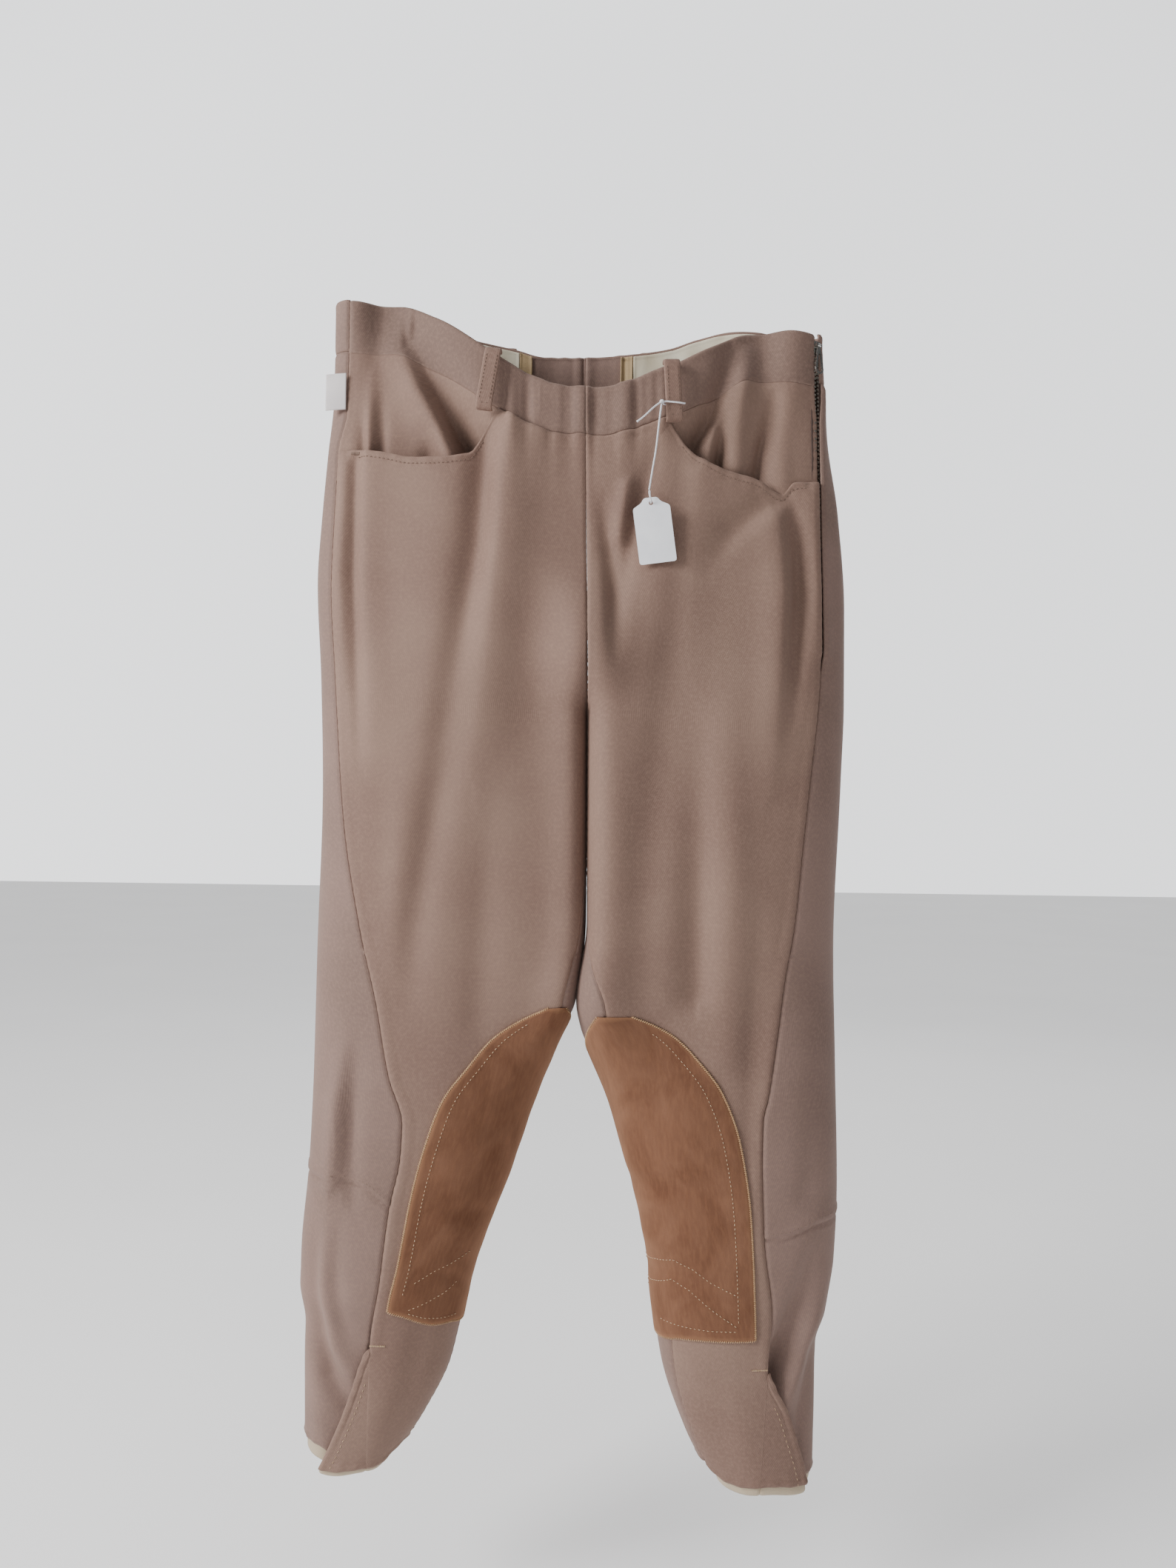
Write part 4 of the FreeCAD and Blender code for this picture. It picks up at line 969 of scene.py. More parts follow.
def twill_material(name, base, shade):
    """Stretch cavalry twill: fine steep ribs, a faint heather and a soft sheen."""
    n = Nodes(name)
    at = n.attribute("cloth_at")
    rib = n.wave(n.turned(at, 27), 0.0012, 0.6, 3.0)
    fine = n.noise(n.turned(at, 27, (1600, 420, 1)), 1.0, 2.0, 0.6)
    heather = n.noise(at, 420, 3.0, 0.6)
    broad = n.noise(at, 9, 4.0, 0.55, 0.4)
    colour = n.mix(n.steps(broad, 0.36, 0.66), shade, base)
    colour = n.tint(colour, heather, 0.42, 0.72, 0.24, linear(172, 144, 130))
    colour = n.tint(colour, rib, 0.55, 0.05, 0.16, linear(92, 66, 54))
    edge = n.attribute("edge_at", "Fac")
    colour = n.tint(colour, edge, 0.0016, 0.0, 0.08, linear(180, 152, 136))
    height = n.math("ADD", n.math("MULTIPLY", rib, 0.65), n.math("MULTIPLY", fine, 0.5))
    normal = n.bump(height, 0.32, 0.00022, n.bump(broad, 0.25, 0.0012))
    return n.finish(colour=colour, roughness=n.steps(heather, -1.2, 1.1), normal=normal, sheen=0.1,
                    sheen_roughness=0.45, sheen_tint=linear(214, 200, 190), specular=0.2)


def suede_material():
    """Suede whose nap lies in brushed patches, paler along its cut edges."""
    n = Nodes("suede_nap")
    at = n.attribute("cloth_at")
    blotch = n.noise(n.turned(at, 12, (1, 0.62, 1)), 30, 4.0, 0.55, 0.9)
    strokes = n.noise(n.turned(at, -35, (420, 95, 1)), 1.0, 3.0, 0.62, 0.3)
    grain = n.noise(at, 1500, 2.0, 0.7)
    colour = n.mix(n.steps(blotch, 0.34, 0.68), linear(99, 66, 50), linear(122, 87, 68))
    colour = n.tint(colour, strokes, 0.42, 0.66, 0.22, linear(146, 104, 77))
    colour = n.tint(colour, grain, 0.35, 0.75, 0.22, linear(105, 68, 46))
    edge = n.attribute("edge_at", "Fac")
    colour = n.tint(colour, edge, 0.004, 0.0005, 0.35, linear(160, 118, 86))
    scuffs = n.steps(n.noise(n.turned(at, 70, (1, 0.3, 1)), 55, 3.0, 0.6, 1.2), 0.62, 0.72)
    colour = n.mix(n.math("MULTIPLY", scuffs, 0.25), colour, linear(96, 60, 42))
    height = n.math("ADD", n.math("MULTIPLY", strokes, 0.5), n.math("MULTIPLY", grain, 0.6))
    normal = n.bump(height, 0.4, 0.0003, n.bump(blotch, 0.35, 0.0012))
    return n.finish(colour=colour, roughness=0.94, normal=normal, sheen=0.35, sheen_roughness=0.55,
                    sheen_tint=linear(226, 178, 140), specular=0.12)


def woven_material(name, base, dark, period, sheen=0.1, roughness=0.85):
    """A plain-woven cotton, tape or elastic."""
    n = Nodes(name)
    at = n.attribute("cloth_at")
    warp = n.wave(at, period, 0.4, 4.0)
    weft = n.wave(n.turned(at, 90), period * 1.2, 0.4, 4.0)
    over = n.math("MULTIPLY", warp, weft)
    slub = n.noise(n.turned(at, 0, (60, 700, 1)), 1.0, 3.0, 0.6)
    broad = n.noise(at, 22, 3.0, 0.5)
    colour = n.mix(n.steps(broad, 0.32, 0.7), dark, base)
    colour = n.tint(colour, over, 0.4, 0.0, 0.28, dark)
    colour = n.tint(colour, slub, 0.55, 0.75, 0.2, dark)
    normal = n.bump(n.math("ADD", over, n.math("MULTIPLY", slub, 0.4)), 0.3, 0.0002)
    return n.finish(colour=colour, roughness=roughness, normal=normal, sheen=sheen, specular=0.25)


def satin_material(name):
    """The lining's cream sateen, with a soft lengthwise gloss."""
    n = Nodes(name)
    at = n.attribute("cloth_at")
    threads = n.noise(n.turned(at, 0, (2400, 200, 1)), 1.0, 2.0, 0.5)
    broad = n.noise(at, 30, 3.0, 0.5, 0.6)
    colour = n.mix(n.steps(broad, 0.35, 0.68), linear(206, 194, 168), linear(233, 226, 205))
    colour = n.tint(colour, threads, 0.5, 0.8, 0.15, linear(190, 176, 146))
    normal = n.bump(threads, 0.2, 0.0002, n.bump(broad, 0.5, 0.002))
    return n.finish(colour=colour, roughness=0.5, normal=normal, sheen=0.1, specular=0.4)


def thread_material(name, base, dark):
    n = Nodes(name)
    place = n.add("ShaderNodeTexCoord").outputs["Object"]
    twist = n.noise(place, 1400, 2.0, 0.6)
    tone = n.noise(place, 60, 2.0, 0.5)
    colour = n.mix(n.steps(twist, 0.35, 0.7), dark, base)
    colour = n.tint(colour, tone, 0.5, 0.75, 0.3, dark)
    return n.finish(colour=colour, roughness=0.7, normal=n.bump(twist, 0.4, 0.0002), sheen=0.1, specular=0.3)


def metal_material(name, base, roughness):
    n = Nodes(name)
    place = n.add("ShaderNodeTexCoord").outputs["Object"]
    worn = n.noise(place, 260, 4.0, 0.6)
    scratch = n.noise(n.turned(place, 30, (90, 1400, 90)), 1.0, 2.0, 0.5)
    colour = n.mix(n.steps(worn, 0.45, 0.75), base, linear(150, 146, 138))
    rough = n.add("ShaderNodeMapRange", {"Value": worn, "From Min": 0.3, "From Max": 0.8,
                                         "To Min": roughness, "To Max": roughness + 0.22}).outputs[0]
    return n.finish(colour=colour, metallic=1.0, roughness=rough, normal=n.bump(scratch, 0.12, 0.0001))


def card_material():
    n = Nodes("tag_card")
    at = n.attribute("cloth_at")
    fibres = n.noise(n.turned(at, 20, (900, 300, 1)), 1.0, 3.0, 0.6)
    broad = n.noise(at, 60, 3.0, 0.5)
    colour = n.mix(n.steps(broad, 0.3, 0.7), linear(238, 239, 244), linear(248, 249, 252))
    colour = n.tint(colour, fibres, 0.55, 0.8, 0.12, linear(200, 200, 205))
    return n.finish(colour=colour, roughness=0.55, normal=n.bump(fibres, 0.12, 0.0001), specular=0.35)


def floor_material():
    n = Nodes("floor_paint")
    place = n.add("ShaderNodeTexCoord").outputs["Object"]
    tone = n.noise(place, 3, 3.0, 0.5)
    colour = n.mix(tone, linear(240, 239, 238), linear(247, 246, 245))
    return n.finish(colour=colour, roughness=0.8, specular=0.2)


TWILL = twill_material("twill_cloth", linear(137, 112, 99), linear(124, 99, 88))
TWILL_BACK = twill_material("twill_calf", linear(137, 113, 104), linear(123, 101, 92))
# The waistband's twill is a darker copy of the legs' cloth.
TWILL_BAND = twill_material("twill_band", linear(125, 102, 92), linear(112, 91, 82))
SUEDE_NAP = suede_material()
SATIN = satin_material("lining_sateen")
COTTON = woven_material("pocket_cotton", linear(214, 202, 178), linear(188, 174, 148), 0.0009)
TAPE = woven_material("tan_tape", linear(196, 172, 134), linear(158, 132, 98), 0.0011)
FACING = woven_material("hem_tape", linear(206, 190, 166), linear(168, 150, 126), 0.0010)
ELASTIC = woven_material("band_elastic", linear(120, 98, 86), linear(90, 70, 60), 0.0016)
ZIP_TAPE = woven_material("zip_tape_weave", linear(104, 84, 76), linear(74, 58, 52), 0.0008)
LABEL = woven_material("label_weave", linear(232, 226, 224), linear(206, 198, 198), 0.0006, 0.15, 0.6)
HOOKS = woven_material("hook_tape_weave", linear(150, 132, 116), linear(104, 88, 76), 0.0015)
LOOPS = woven_material("loop_tape_pile", linear(168, 150, 132), linear(120, 102, 88), 0.0013, 0.5)
THREAD = thread_material("cloth_thread", linear(140, 118, 104), linear(108, 86, 74))
TAN_THREAD = thread_material("tan_thread", linear(205, 172, 134), linear(160, 122, 86))
PALE_THREAD = thread_material("pale_thread", linear(214, 190, 160), linear(176, 146, 112))
STRING_COTTON = thread_material("tag_string_cotton", linear(240, 240, 242), linear(205, 205, 210))
CHROME = metal_material("zip_metal", linear(206, 204, 200), 0.2)
BRASS = metal_material("aged_metal", linear(170, 164, 154), 0.34)
CARD = card_material()
FLOOR = floor_material()


# Making the pieces --------------------

BENDS = {"hip": (SEAT_END, THIGH_START), "knee": (THIGH_END, SHIN_START)}   # heights round the hip and the knee; no cloth is bent between them


def ride_or_bend(obj, how, side=None):
    """Puts a piece on a body. A piece across a leg's hip, knee or cuff is not bent: its place is only baked
    into its mesh.
    """
    if how not in ("hip", "knee", "flap"):
        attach(obj, how)
        return obj
    start, end = flap_turning(side) if how == "flap" else [(0, 0, height * MM) for height in BENDS[how]]
    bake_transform(obj)
    return obj


def flap_turning(side):
    """Two points in metres: the top of the cuff flap's fold line and a point 7 mm beyond it, over which the
    flap would turn.
    """
    slit, hem = SLIT_TOP[side.name], FRONT_HEM[side.name]
    high, low = FLAP_FOLD[side.name]
    top = side.skin(side.turn_at(high, slit), slit)
    bottom = side.skin(side.turn_at(low, hem), hem)
    along = unit(bottom - top)
    beyond = side.skin(side.turn_at(low + 20, hem), hem) - bottom
    across = unit(beyond - along * np.dot(beyond, along))
    return metres(top), metres(top + across * 7)


def fold_limit(side, distance):
    high, low = FLAP_FOLD[side.name]
    line = smooth_curve([(SLIT_TOP[side.name], high), (FRONT_HEM[side.name], low)])
    return lambda z: side.moved(side.turn_at(line(z), z), z, distance)


def slit_limit(side, distance):
    return lambda z: side.moved(side.turn_at(side.slit_across(z), z), z, distance)


def cloth_piece(name, panel, thickness, material, how, nodes=(), joins=()):
    """One cut piece of cloth: it goes on its body, or stays in place where it crosses a hip, knee or cuff, and
    the nodes it stands for are hidden. Its flat size is worked out but not kept.
    """
    obj = panel_piece(name, panel, thickness, material, joins)
    ride_or_bend(obj, how, panel.side)
    if nodes:
        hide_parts(*nodes)
    flat, area = panel.flat_size()
    return obj


def on_cloth(side, turns, zs, piece, lift=0.0, inset=0.0):
    """A line of points on the cloth, with outward directions."""
    points, out = cloth(side, np.asarray(turns, float), np.asarray(zs, float), piece, inset)
    return points + out * lift, out


# Legs, seat and pockets --------------------

def make_upper_leg(side):
    name = side.name
    front = Panel(side, side.front_start, side.front_end, THIGH_SPLIT, side.panel_top, "front", rows=150,
                  columns=78, edges=("allowance", "seam", None, "hem"), lift=zip_lips)
    back = Panel(side, side.back_start, side.back_end, THIGH_SPLIT,
                 lambda across: side.band_bottom(across, back=True) - SEAM_GAP, "back", rows=150, columns=84,
                 edges=("seam", "seam", None, "seam"), lift=zip_lips)
    for face, panel, material in (("front", front, TWILL), ("back", back, TWILL_BACK)):
        nodes = [f"{name}_{face}_panel", f"{name}_hip_fold", f"{name}_{face}_thigh"]
        cloth_piece(f"{name}_{face}_panel_cloth", panel, CLOTH, material, "hip",
                    nodes, joins=("bottom",))


def inner_thigh(panel):
    """The legs press together under the crotch, so the seam's groove closes there."""
    width = panel.round_it[:, -1:]
    near = width - panel.round_it if panel.piece == "front" else panel.round_it
    facing = ease((np.abs(panel.out[..., 0]) - 0.04) / 0.3) * (panel.z > THIGH_SPLIT)
    return facing * bump(near, 2.2) * 0.95


def zip_lips(panel):
    """The cloth stands proud over the zip's tapes, along the left side seam above the zip's end."""
    closed = inner_thigh(panel)
    if panel.side.name == "right":
        return closed
    width = panel.round_it[:, -1:]
    near = panel.round_it if panel.piece == "front" else width - panel.round_it
    reach = ease((panel.z - ZIP_LOWER_END[2] + 12) / 16)
    return closed + reach * 2.2 * bump(near, 8.0)


def front_limit(side):
    """The front's outer limit on the lower leg: the side seam, then the cuff flap's fold line."""
    fold = fold_limit(side, 0.0)
    return lambda z: np.where(z > SLIT_TOP[side.name], side.front_start(z), fold(z))


def calf_end(side):
    def value(z):
        under = ease((SLIT_TOP[side.name] - z) / 20) * TUCK_WIDTH
        slit = 4 + side.moved(side.turn_at(side.slit_across(z), z), z, under)
        return np.where(z > SLIT_TOP[side.name], side.back_end(z), slit)
    return value


def calf_inset(side):
    def value(turn, z):
        near_slit = ease((turn - 3.55) / 0.5)
        return TUCK * near_slit * ease((SLIT_TOP[side.name] + 34 - z) / 30)
    return value


CALF_SEAM = {   # (across, height) on the side that faces forwards
    "right": [(126, -631), (144, -619), (162.5, -616), (192, -617)],
    "left": [(137, -651), (148, -651), (161, -647.5), (174.5, -643), (192, -643)],
}
CALF_HEM_RISE = {   # height, where it starts and width, at the side seam and then at the inseam
    "right": ((34.0, 128.0, 52.0), (33.0, 141.0, 22.0)),
    "left": ((14.0, 134.0, 44.0), (21.0, 116.0, 20.0)),
}
CALF_TAPE_DROP = {"right": (3.5, 7.5), "left": (5.0, 2.0)}   # below the hem inside, and more at the side
FRONT_HEM_LIFT = {"right": 3.5, "left": 5.5}   # the visible front hem sits this far above its pattern line


def calf_seam_relief(panel):
    """The groove of the seam across the top of the calf panel, and its turned allowance above it."""
    side = panel.side
    line = smooth_curve(CALF_SEAM[side.name])
    across = side.sign * panel.points[..., 0]
    height = panel.z - line(across)
    return -1.3 * bump(height, 1.4) + 0.6 * ease(height / 1.5) * (1 - ease((height - 6.4) / 1.4))


def calf_hem(side):
    """The calf panel's hem, which rises towards the side seam and, like the front's, at the inseam."""
    (rise, start, width), (inner_rise, inner_start, inner_width) = CALF_HEM_RISE[side.name]

    def value(across):
        outer = rise * ease((across - start) / width)
        inner = inner_rise * ease((inner_start - across) / inner_width)
        return BACK_HEM[side.name] + outer + inner
    return value


def calf_tape_edge(side):
    """The lower edge of the tape inside the calf panel's hem."""
    drop, more = CALF_TAPE_DROP[side.name]
    hem = calf_hem(side)
    return lambda across: hem(across) - drop - more * ease((across - 140) / 20) + 0.6 * np.sin(across / 6)


FRONT_HEM_RISE = {"right": (13.0, 137.0, 22.0), "left": (8.0, 112.0, 20.0)}   # height, where it starts, width


def front_hem(side, drop=0.0):
    """The front's hem, which rises a little at the inseam."""
    rise, start, width = FRONT_HEM_RISE[side.name]
    hem = FRONT_HEM[side.name] + FRONT_HEM_LIFT[side.name] - drop
    return lambda across: hem + 0.8 * np.sin(across / 7) + rise * ease((start - across) / width)


def make_lower_leg(side):
    name = side.name
    front = Panel(side, front_limit(side), side.front_end, front_hem(side), THIGH_SPLIT, "front", rows=170,
                  columns=70, edges=("allowance", "seam", "hem", None), lift=cuff_smoothing)
    back = Panel(side, side.back_start, calf_end(side), calf_hem(side), THIGH_SPLIT, "back", calf_inset(side),
                 rows=170, columns=90, edges=("seam", "seam", "hem", None), lift=calf_seam_relief)
    rows = (("front", "front_shin", front, TWILL), ("back", "calf_panel", back, TWILL_BACK))
    for face, shin, panel, material in rows:
        nodes = [f"{name}_{face}_thigh", f"{name}_knee_fold", f"{name}_{shin}"]
        cloth_piece(f"{name}_{face}_leg_cloth", panel, CLOTH, material, "knee",
                    nodes, joins=("top",))


def cuff_smoothing(panel):
    """Takes the side seam's edge shape away below the slit, where the cloth runs on into the flap."""
    below = ease((SLIT_TOP[panel.side.name] - panel.z) / 8)
    return -below * edge_height("allowance", panel.round_it, panel.up_it)


STRIP_ABOVE_HEM = 14.0    # the cuff tapes stop this far above the hem
STRIP_BELOW_SLIT = 40.0   # and this far below the slit's top
TAPE_CLEARANCE = 0.25


def make_flap(side):
    name = side.name
    flap = Panel(side, slit_limit(side, 0.0), fold_limit(side, 0.0), front_hem(side), SLIT_TOP[name] - 2.5,
                 "front", rows=70, columns=16, edges=("hem", None, "hem", "soft"))
    obj = cloth_piece(f"{name}_cuff_flap_cloth", flap, CLOTH, TWILL, "flap",
                      [f"{name}_cuff_flap"], joins=("last",))
    low, high = FRONT_HEM[name] + STRIP_ABOVE_HEM, SLIT_TOP[name] - STRIP_BELOW_SLIT
    hooks = Panel(side, slit_limit(side, 1.5), slit_limit(side, 9.5), low, high, "front",
                  CLOTH + TAPE_CLEARANCE, rows=22, columns=6, edges=SOFT_EDGES)
    cloth_piece(f"{name}_hook_strip", hooks, LINING, HOOKS, "flap", [f"{name}_hook_tape"])
    loops = Panel(side, lambda z: 4 + slit_limit(side, 1.0)(z), lambda z: 4 + slit_limit(side, 9.0)(z), low,
                  high, "back", lambda turn, z: calf_inset(side)(turn, z) - LINING - TAPE_CLEARANCE, rows=22,
                  columns=6, edges=SOFT_EDGES)
    cloth_piece(f"{name}_loop_strip", loops, LINING, LOOPS, f"{name}_shin",
                [f"{name}_loop_tape"])


HEM_TAPE_DROP = {"right": 4.4, "left": 7.4}   # the cotton tape hangs this far below the front hem


def make_hem_facings(side):
    """The cotton tape inside the hem: on the front, on the flap and on the calf panel."""
    name = side.name
    hem, edge, inset = FRONT_HEM[name], front_hem(side, HEM_TAPE_DROP[name]), CLOTH + 0.3
    strip = Panel(side, fold_limit(side, 0.0), lambda z: side.moved(side.front_end(z), z, -3), edge, hem + 26,
                  "front", inset, rows=16, columns=40, edges=SOFT_EDGES)
    flap = Panel(side, slit_limit(side, 0.8), fold_limit(side, -0.2), edge, hem + 13, "front", inset, rows=10,
                 columns=12, edges=SOFT_EDGES)
    back = Panel(side, lambda z: side.moved(side.back_start(z), z, 4),
                 lambda z: side.moved(calf_end(side)(z), z, -3), calf_tape_edge(side), BACK_HEM[name] + 46,
                 "back", lambda turn, z: calf_inset(side)(turn, z) + inset, rows=14, columns=70,
                 edges=SOFT_EDGES)
    rows = (("hem_strip", strip, f"{name}_shin", [f"{name}_hem_facing"]), ("flap_hem_strip", flap, "flap", []),
            ("calf_hem_strip", back, f"{name}_shin", [f"{name}_calf_hem_facing"]))
    for label, panel, how, nodes in rows:
        cloth_piece(f"{name}_{label}", panel, LINING, FACING, how,
                    nodes)


def make_patch(side):
    name = side.name
    patch = Panel(side, lambda z: side.turn_at(side.patch_edge(z), z), side.patch_back, side.patch_bottom,
                  PATCH_TOP[name], "front", -SUEDE - PATCH_LIFT, rows=120, columns=56, edges=SOFT_EDGES,
                  lift=patch_lift)
    cloth_piece(f"{name}_knee_patch_suede", patch, SUEDE, SUEDE_NAP, "knee",
                [f"{name}_knee_patch_upper", f"{name}_knee_patch_lower", f"{name}_knee_fold"])
    return patch


def patch_lift(panel):
    """The suede's own creases, and the extra height it needs where it goes over the inseam."""
    x, z = panel.points[..., 0], panel.z
    back = panel.turn > panel.side.inseam_turn(z)
    crease = 0.25 * np.sin(x / 6 + z / 17) * np.sin(z / 9.5 + x / 31)
    return crease + np.where(back, 0.1, 0.0)


BAND_THICKNESS = 2.6
ELASTIC_REACH = 62.0      # how far across the front elastic reaches


def make_front_band(side):
    name = side.name

    def centre(z):
        return side.moved(side.centre_turn(z), z, -0.12)

    band = Panel(side, side.front_start, centre, side.band_bottom, side.front_top, "waist", rows=26,
                 columns=110, edges=("seam", "soft", "seam", "soft"), lift=band_top_roll, is_band=True)
    obj = cloth_piece(f"{name}_front_band_cloth", band, BAND_THICKNESS, TWILL_BAND, "seat",
                      ["front_waistband"])
    elastic = Panel(side, side_at(side, ELASTIC_REACH), centre, lambda across: side.band_bottom(across) + 5,
                    lambda across: side.front_top(across) - 4, "waist", 3.2, rows=14, columns=50,
                    edges=SOFT_EDGES)
    cloth_piece(f"{name}_front_band_elastic", elastic, LINING, ELASTIC, "seat",
                ["front_waist_elastic"])


def side_at(side, across):
    return lambda z: side.turn_at(across, z)


def back_at(side, across):
    return lambda z: 4 - side.turn_at(across, z)


def band_top_roll(panel):
    """The waistband's folded upper edge, a little fuller than the rest."""
    height = panel.up_it[-1:, :] - panel.up_it
    return 0.35 * bump(height - 2, 3) + 0.25 * np.sin(panel.round_it / 6.5) * bump(height, 5)


def back_gathers(panel):
    x = panel.points[..., 0]
    reach = np.exp(-(x / 34) ** 4)
    waves = 0.8 * np.sin(x * 0.62 + 1) + 0.5 * np.sin(x * 1.05 + 2 + panel.z * 0.04)
    return reach * waves + band_top_roll(panel)


TAB_START = {"right": 38.0, "left": 28.0}   # inner edge of the tape over the back elastic's end
TAB_WIDTH = 9.0
LINING_END = 150.0


def make_back_band(side):
    name = side.name
    tab = TAB_START[name]

    def low(across, drop=0.0):
        return side.band_bottom(across, back=True) - drop

    def high(drop):
        return lambda across: side.back_top(across) - drop

    band = Panel(side, side.back_start, side.back_end, low, side.back_top, "back", rows=26, columns=110,
                 edges=("seam", "seam", "seam", "soft"), lift=back_gathers)
    obj = cloth_piece(f"{name}_back_band_cloth", band, CLOTH, TWILL_BACK, "seat",
                      [f"{name}_back_waistband"])
    lining = Panel(side, back_at(side, tab + TAB_WIDTH + 0.6), back_at(side, LINING_END),
                   lambda across: low(across, 1), high(2.2), "back", CLOTH + 0.3, rows=22, columns=80,
                   edges=SOFT_EDGES, lift=lining_creases)
    cloth_piece(f"{name}_band_lining", lining, LINING, SATIN, "seat",
                [f"{name}_waistband_lining"])
    tape = Panel(side, back_at(side, tab), back_at(side, tab + TAB_WIDTH), lambda across: low(across, 1),
                 high(1.8), "back", CLOTH + 0.5, rows=20, columns=8, edges=SOFT_EDGES, lift=back_gathers)
    cloth_piece(f"{name}_elastic_end_tab", tape, LINING, TAPE, "seat", ["elastic_end_tabs"])


def lining_creases(panel):
    x, z = panel.points[..., 0], panel.z
    return 0.22 * np.sin(x / 3.1 + z / 8) + 0.18 * np.sin(x / 5.7 - z / 6 + 1)


FACING_DEEP = 12.0        # how far behind the pocket's mouth its facing sits


def make_pocket(side):
    name = side.name

    def facing_inset(turn, z):
        across = side.sign * side.skin(turn, z)[..., 0]
        top = side.band_bottom(across)
        from_seam = (turn - side.front_start(z)) * 62.0
        return 0.3 + (FACING_DEEP - 0.3) * ease((top - z) / 50.0) * ease(from_seam / 26.0)

    facing = Panel(side, lambda z: side.moved(side.front_start(z), z, 0.6),
                   side_at(side, POCKET_START[name] - 8), lambda across: side.mouth_line(across) - 22,
                   lambda across: side.band_bottom(across) - SEAM_GAP, "waist", facing_inset, rows=70,
                   columns=90, edges=("seam", "soft", "soft", "seam"), lift=zip_lips)
    cloth_piece(f"{name}_pocket_facing_cloth", facing, LINING, TWILL, "seat",
                [f"{name}_pocket_facing"])
    make_pocket_bag(side)


POCKET_IN, POCKET_OUT = 68.0, 160.0
POCKET_FLOOR = -232.0
BAG_FRONT = 9.0           # how far behind the front panel the bag's front layer lies
BAG_DEPTH = 14.0


def make_pocket_bag(side):
    """The pocket's two cotton layers, sewn round the sides and the rounded bottom."""
    name = side.name
    middle = BAG_FRONT + BAG_DEPTH / 2

    def floor_line(across):
        return POCKET_FLOOR + 14 * ((across - 114) / 46) ** 4

    def inset_at(depth):
        def inset(turn, z):
            across = side.sign * side.skin(turn, z)[..., 0]
            rim = np.minimum(ease((across - POCKET_IN) / 12), ease((POCKET_OUT - across) / 12))
            rim = np.minimum(rim, ease((z - floor_line(across)) / 14))
            return middle + (depth - middle) * (0.15 + 0.85 * rim)
        return inset

    def top_line(drop):
        return lambda across: side.mouth_line(across) - drop

    rows = (("front", BAG_FRONT, 24.0, [f"{name}_pocket_bag"]), ("back", BAG_FRONT + BAG_DEPTH, 22.0, []))
    for label, depth, drop, nodes in rows:
        layer = Panel(side, side_at(side, POCKET_OUT), side_at(side, POCKET_IN), floor_line, top_line(drop),
                      "bag", inset_at(depth), rows=30, columns=30, edges=(None,) * 4)
        cloth_piece(f"{name}_pocket_bag_{label}", layer, LINING, COTTON, "seat",
                    nodes)


# Seams in thread --------------------

def line_across(side, height_of, start, end, lift, count=120):
    across = np.linspace(start, end, count)
    z = height_of(across)
    return on_cloth(side, side.turn_at(across, z), z, "front", lift)


def add_stitches(name, runs, material, how, side=None, **settings):
    obj = stitch_mesh(name, runs, material, **settings)
    ride_or_bend(obj, how, side)
    return obj


def make_cloth_stitches(side):
    name = side.name
    mouth = line_across(side, lambda across: side.mouth(across) - 4.6, POCKET_START[name] + 9, 160, 0.1)
    pocket_tack = line_across(side, lambda across: side.mouth(across) - 2.0, 158, 164, 0.2, count=10)
    seam = CALF_SEAM[name]
    across = np.linspace(seam[0][0] + 2, seam[-1][0] - 3, 120)
    z = smooth_curve(seam)(across) + 5.0
    calf = on_cloth(side, 4 + side.turn_at(across, z), z, "back", 0.3)
    z = np.linspace(SLIT_TOP[name] - 26, FRONT_HEM[name] + 4, 160)
    flap_edge = on_cloth(side, slit_limit(side, 8.0)(z), z, "front", 0.1)
    z = np.full(12, SLIT_TOP[name] + 1.0)
    slit_tack = on_cloth(side, side.turn_at(np.linspace(139, 128, 12), z), z, "front", 0.45)
    rows = (
        ("pocket_topstitch", mouth, THREAD, "hip", {"spacing": 3.1, "length": 2.1, "radius": 0.24}),
        ("pocket_bar_tack", pocket_tack, THREAD, "hip",
         {"spacing": 0.5, "length": 2.4, "radius": 0.3, "slant": 90}),
        ("calf_topstitch", calf, THREAD, "knee", {"spacing": 3.0, "length": 2.1, "radius": 0.26}),
        ("flap_topstitch", flap_edge, PALE_THREAD, "flap", {"spacing": 4.2, "length": 2.2, "radius": 0.2}),
        ("slit_bar_tack", slit_tack, PALE_THREAD, "knee",
         {"spacing": 0.7, "length": 1.3, "radius": 0.26, "slant": 80}),
    )
    for label, line, thread, how, sizes in rows:
        add_stitches(f"{name}_{label}", [line], thread, how, side, **sizes)


def inset_line(patch, distance):
    """A line across the patch's front part, a fixed distance inside its front edge, from the top down."""
    points, outs = [], []
    for row in range(len(patch.z) - 1, -1, -1):
        along = patch.round_it[row]
        column = np.interp(distance, along, np.arange(len(along)))
        low = int(column)
        share = column - low
        high = min(low + 1, len(along) - 1)
        points.append(patch.points[row, low] * (1 - share) + patch.points[row, high] * share)
        outs.append(patch.out[row, low])
    return np.array(points), np.array(outs)


CHEVRONS = {   # lines of stitches across the suede behind the knee: (x, z) from the outside inwards
    "right": [[(-109, -685), (-96, -678), (-84, -673), (-72, -667)],
              [(-113, -704), (-101, -700), (-90, -695), (-80, -689)],
              [(-113, -706), (-102, -711), (-92, -713), (-82, -714)]],
    "left": [[(116, -689), (98, -681), (86, -673), (73, -669), (62, -673), (50, -681)],
             [(117, -712), (100, -701), (84, -689), (72, -684), (62, -690), (50, -700)],
             [(117, -715), (98, -716), (80, -716), (66, -716)]],
}


def on_patch(side, line, lift):
    """Points on the suede's front at those (x, z) places."""
    x, z = np.array(line, float).T
    steps = np.linspace(0, len(x) - 1, 12 * len(x))
    x, z = np.interp(steps, range(len(x)), x), np.interp(steps, range(len(z)), z)
    turn = side.turn_at(side.sign * x, z)
    return on_cloth(side, turn, z, "front", lift, -SUEDE - PATCH_LIFT)


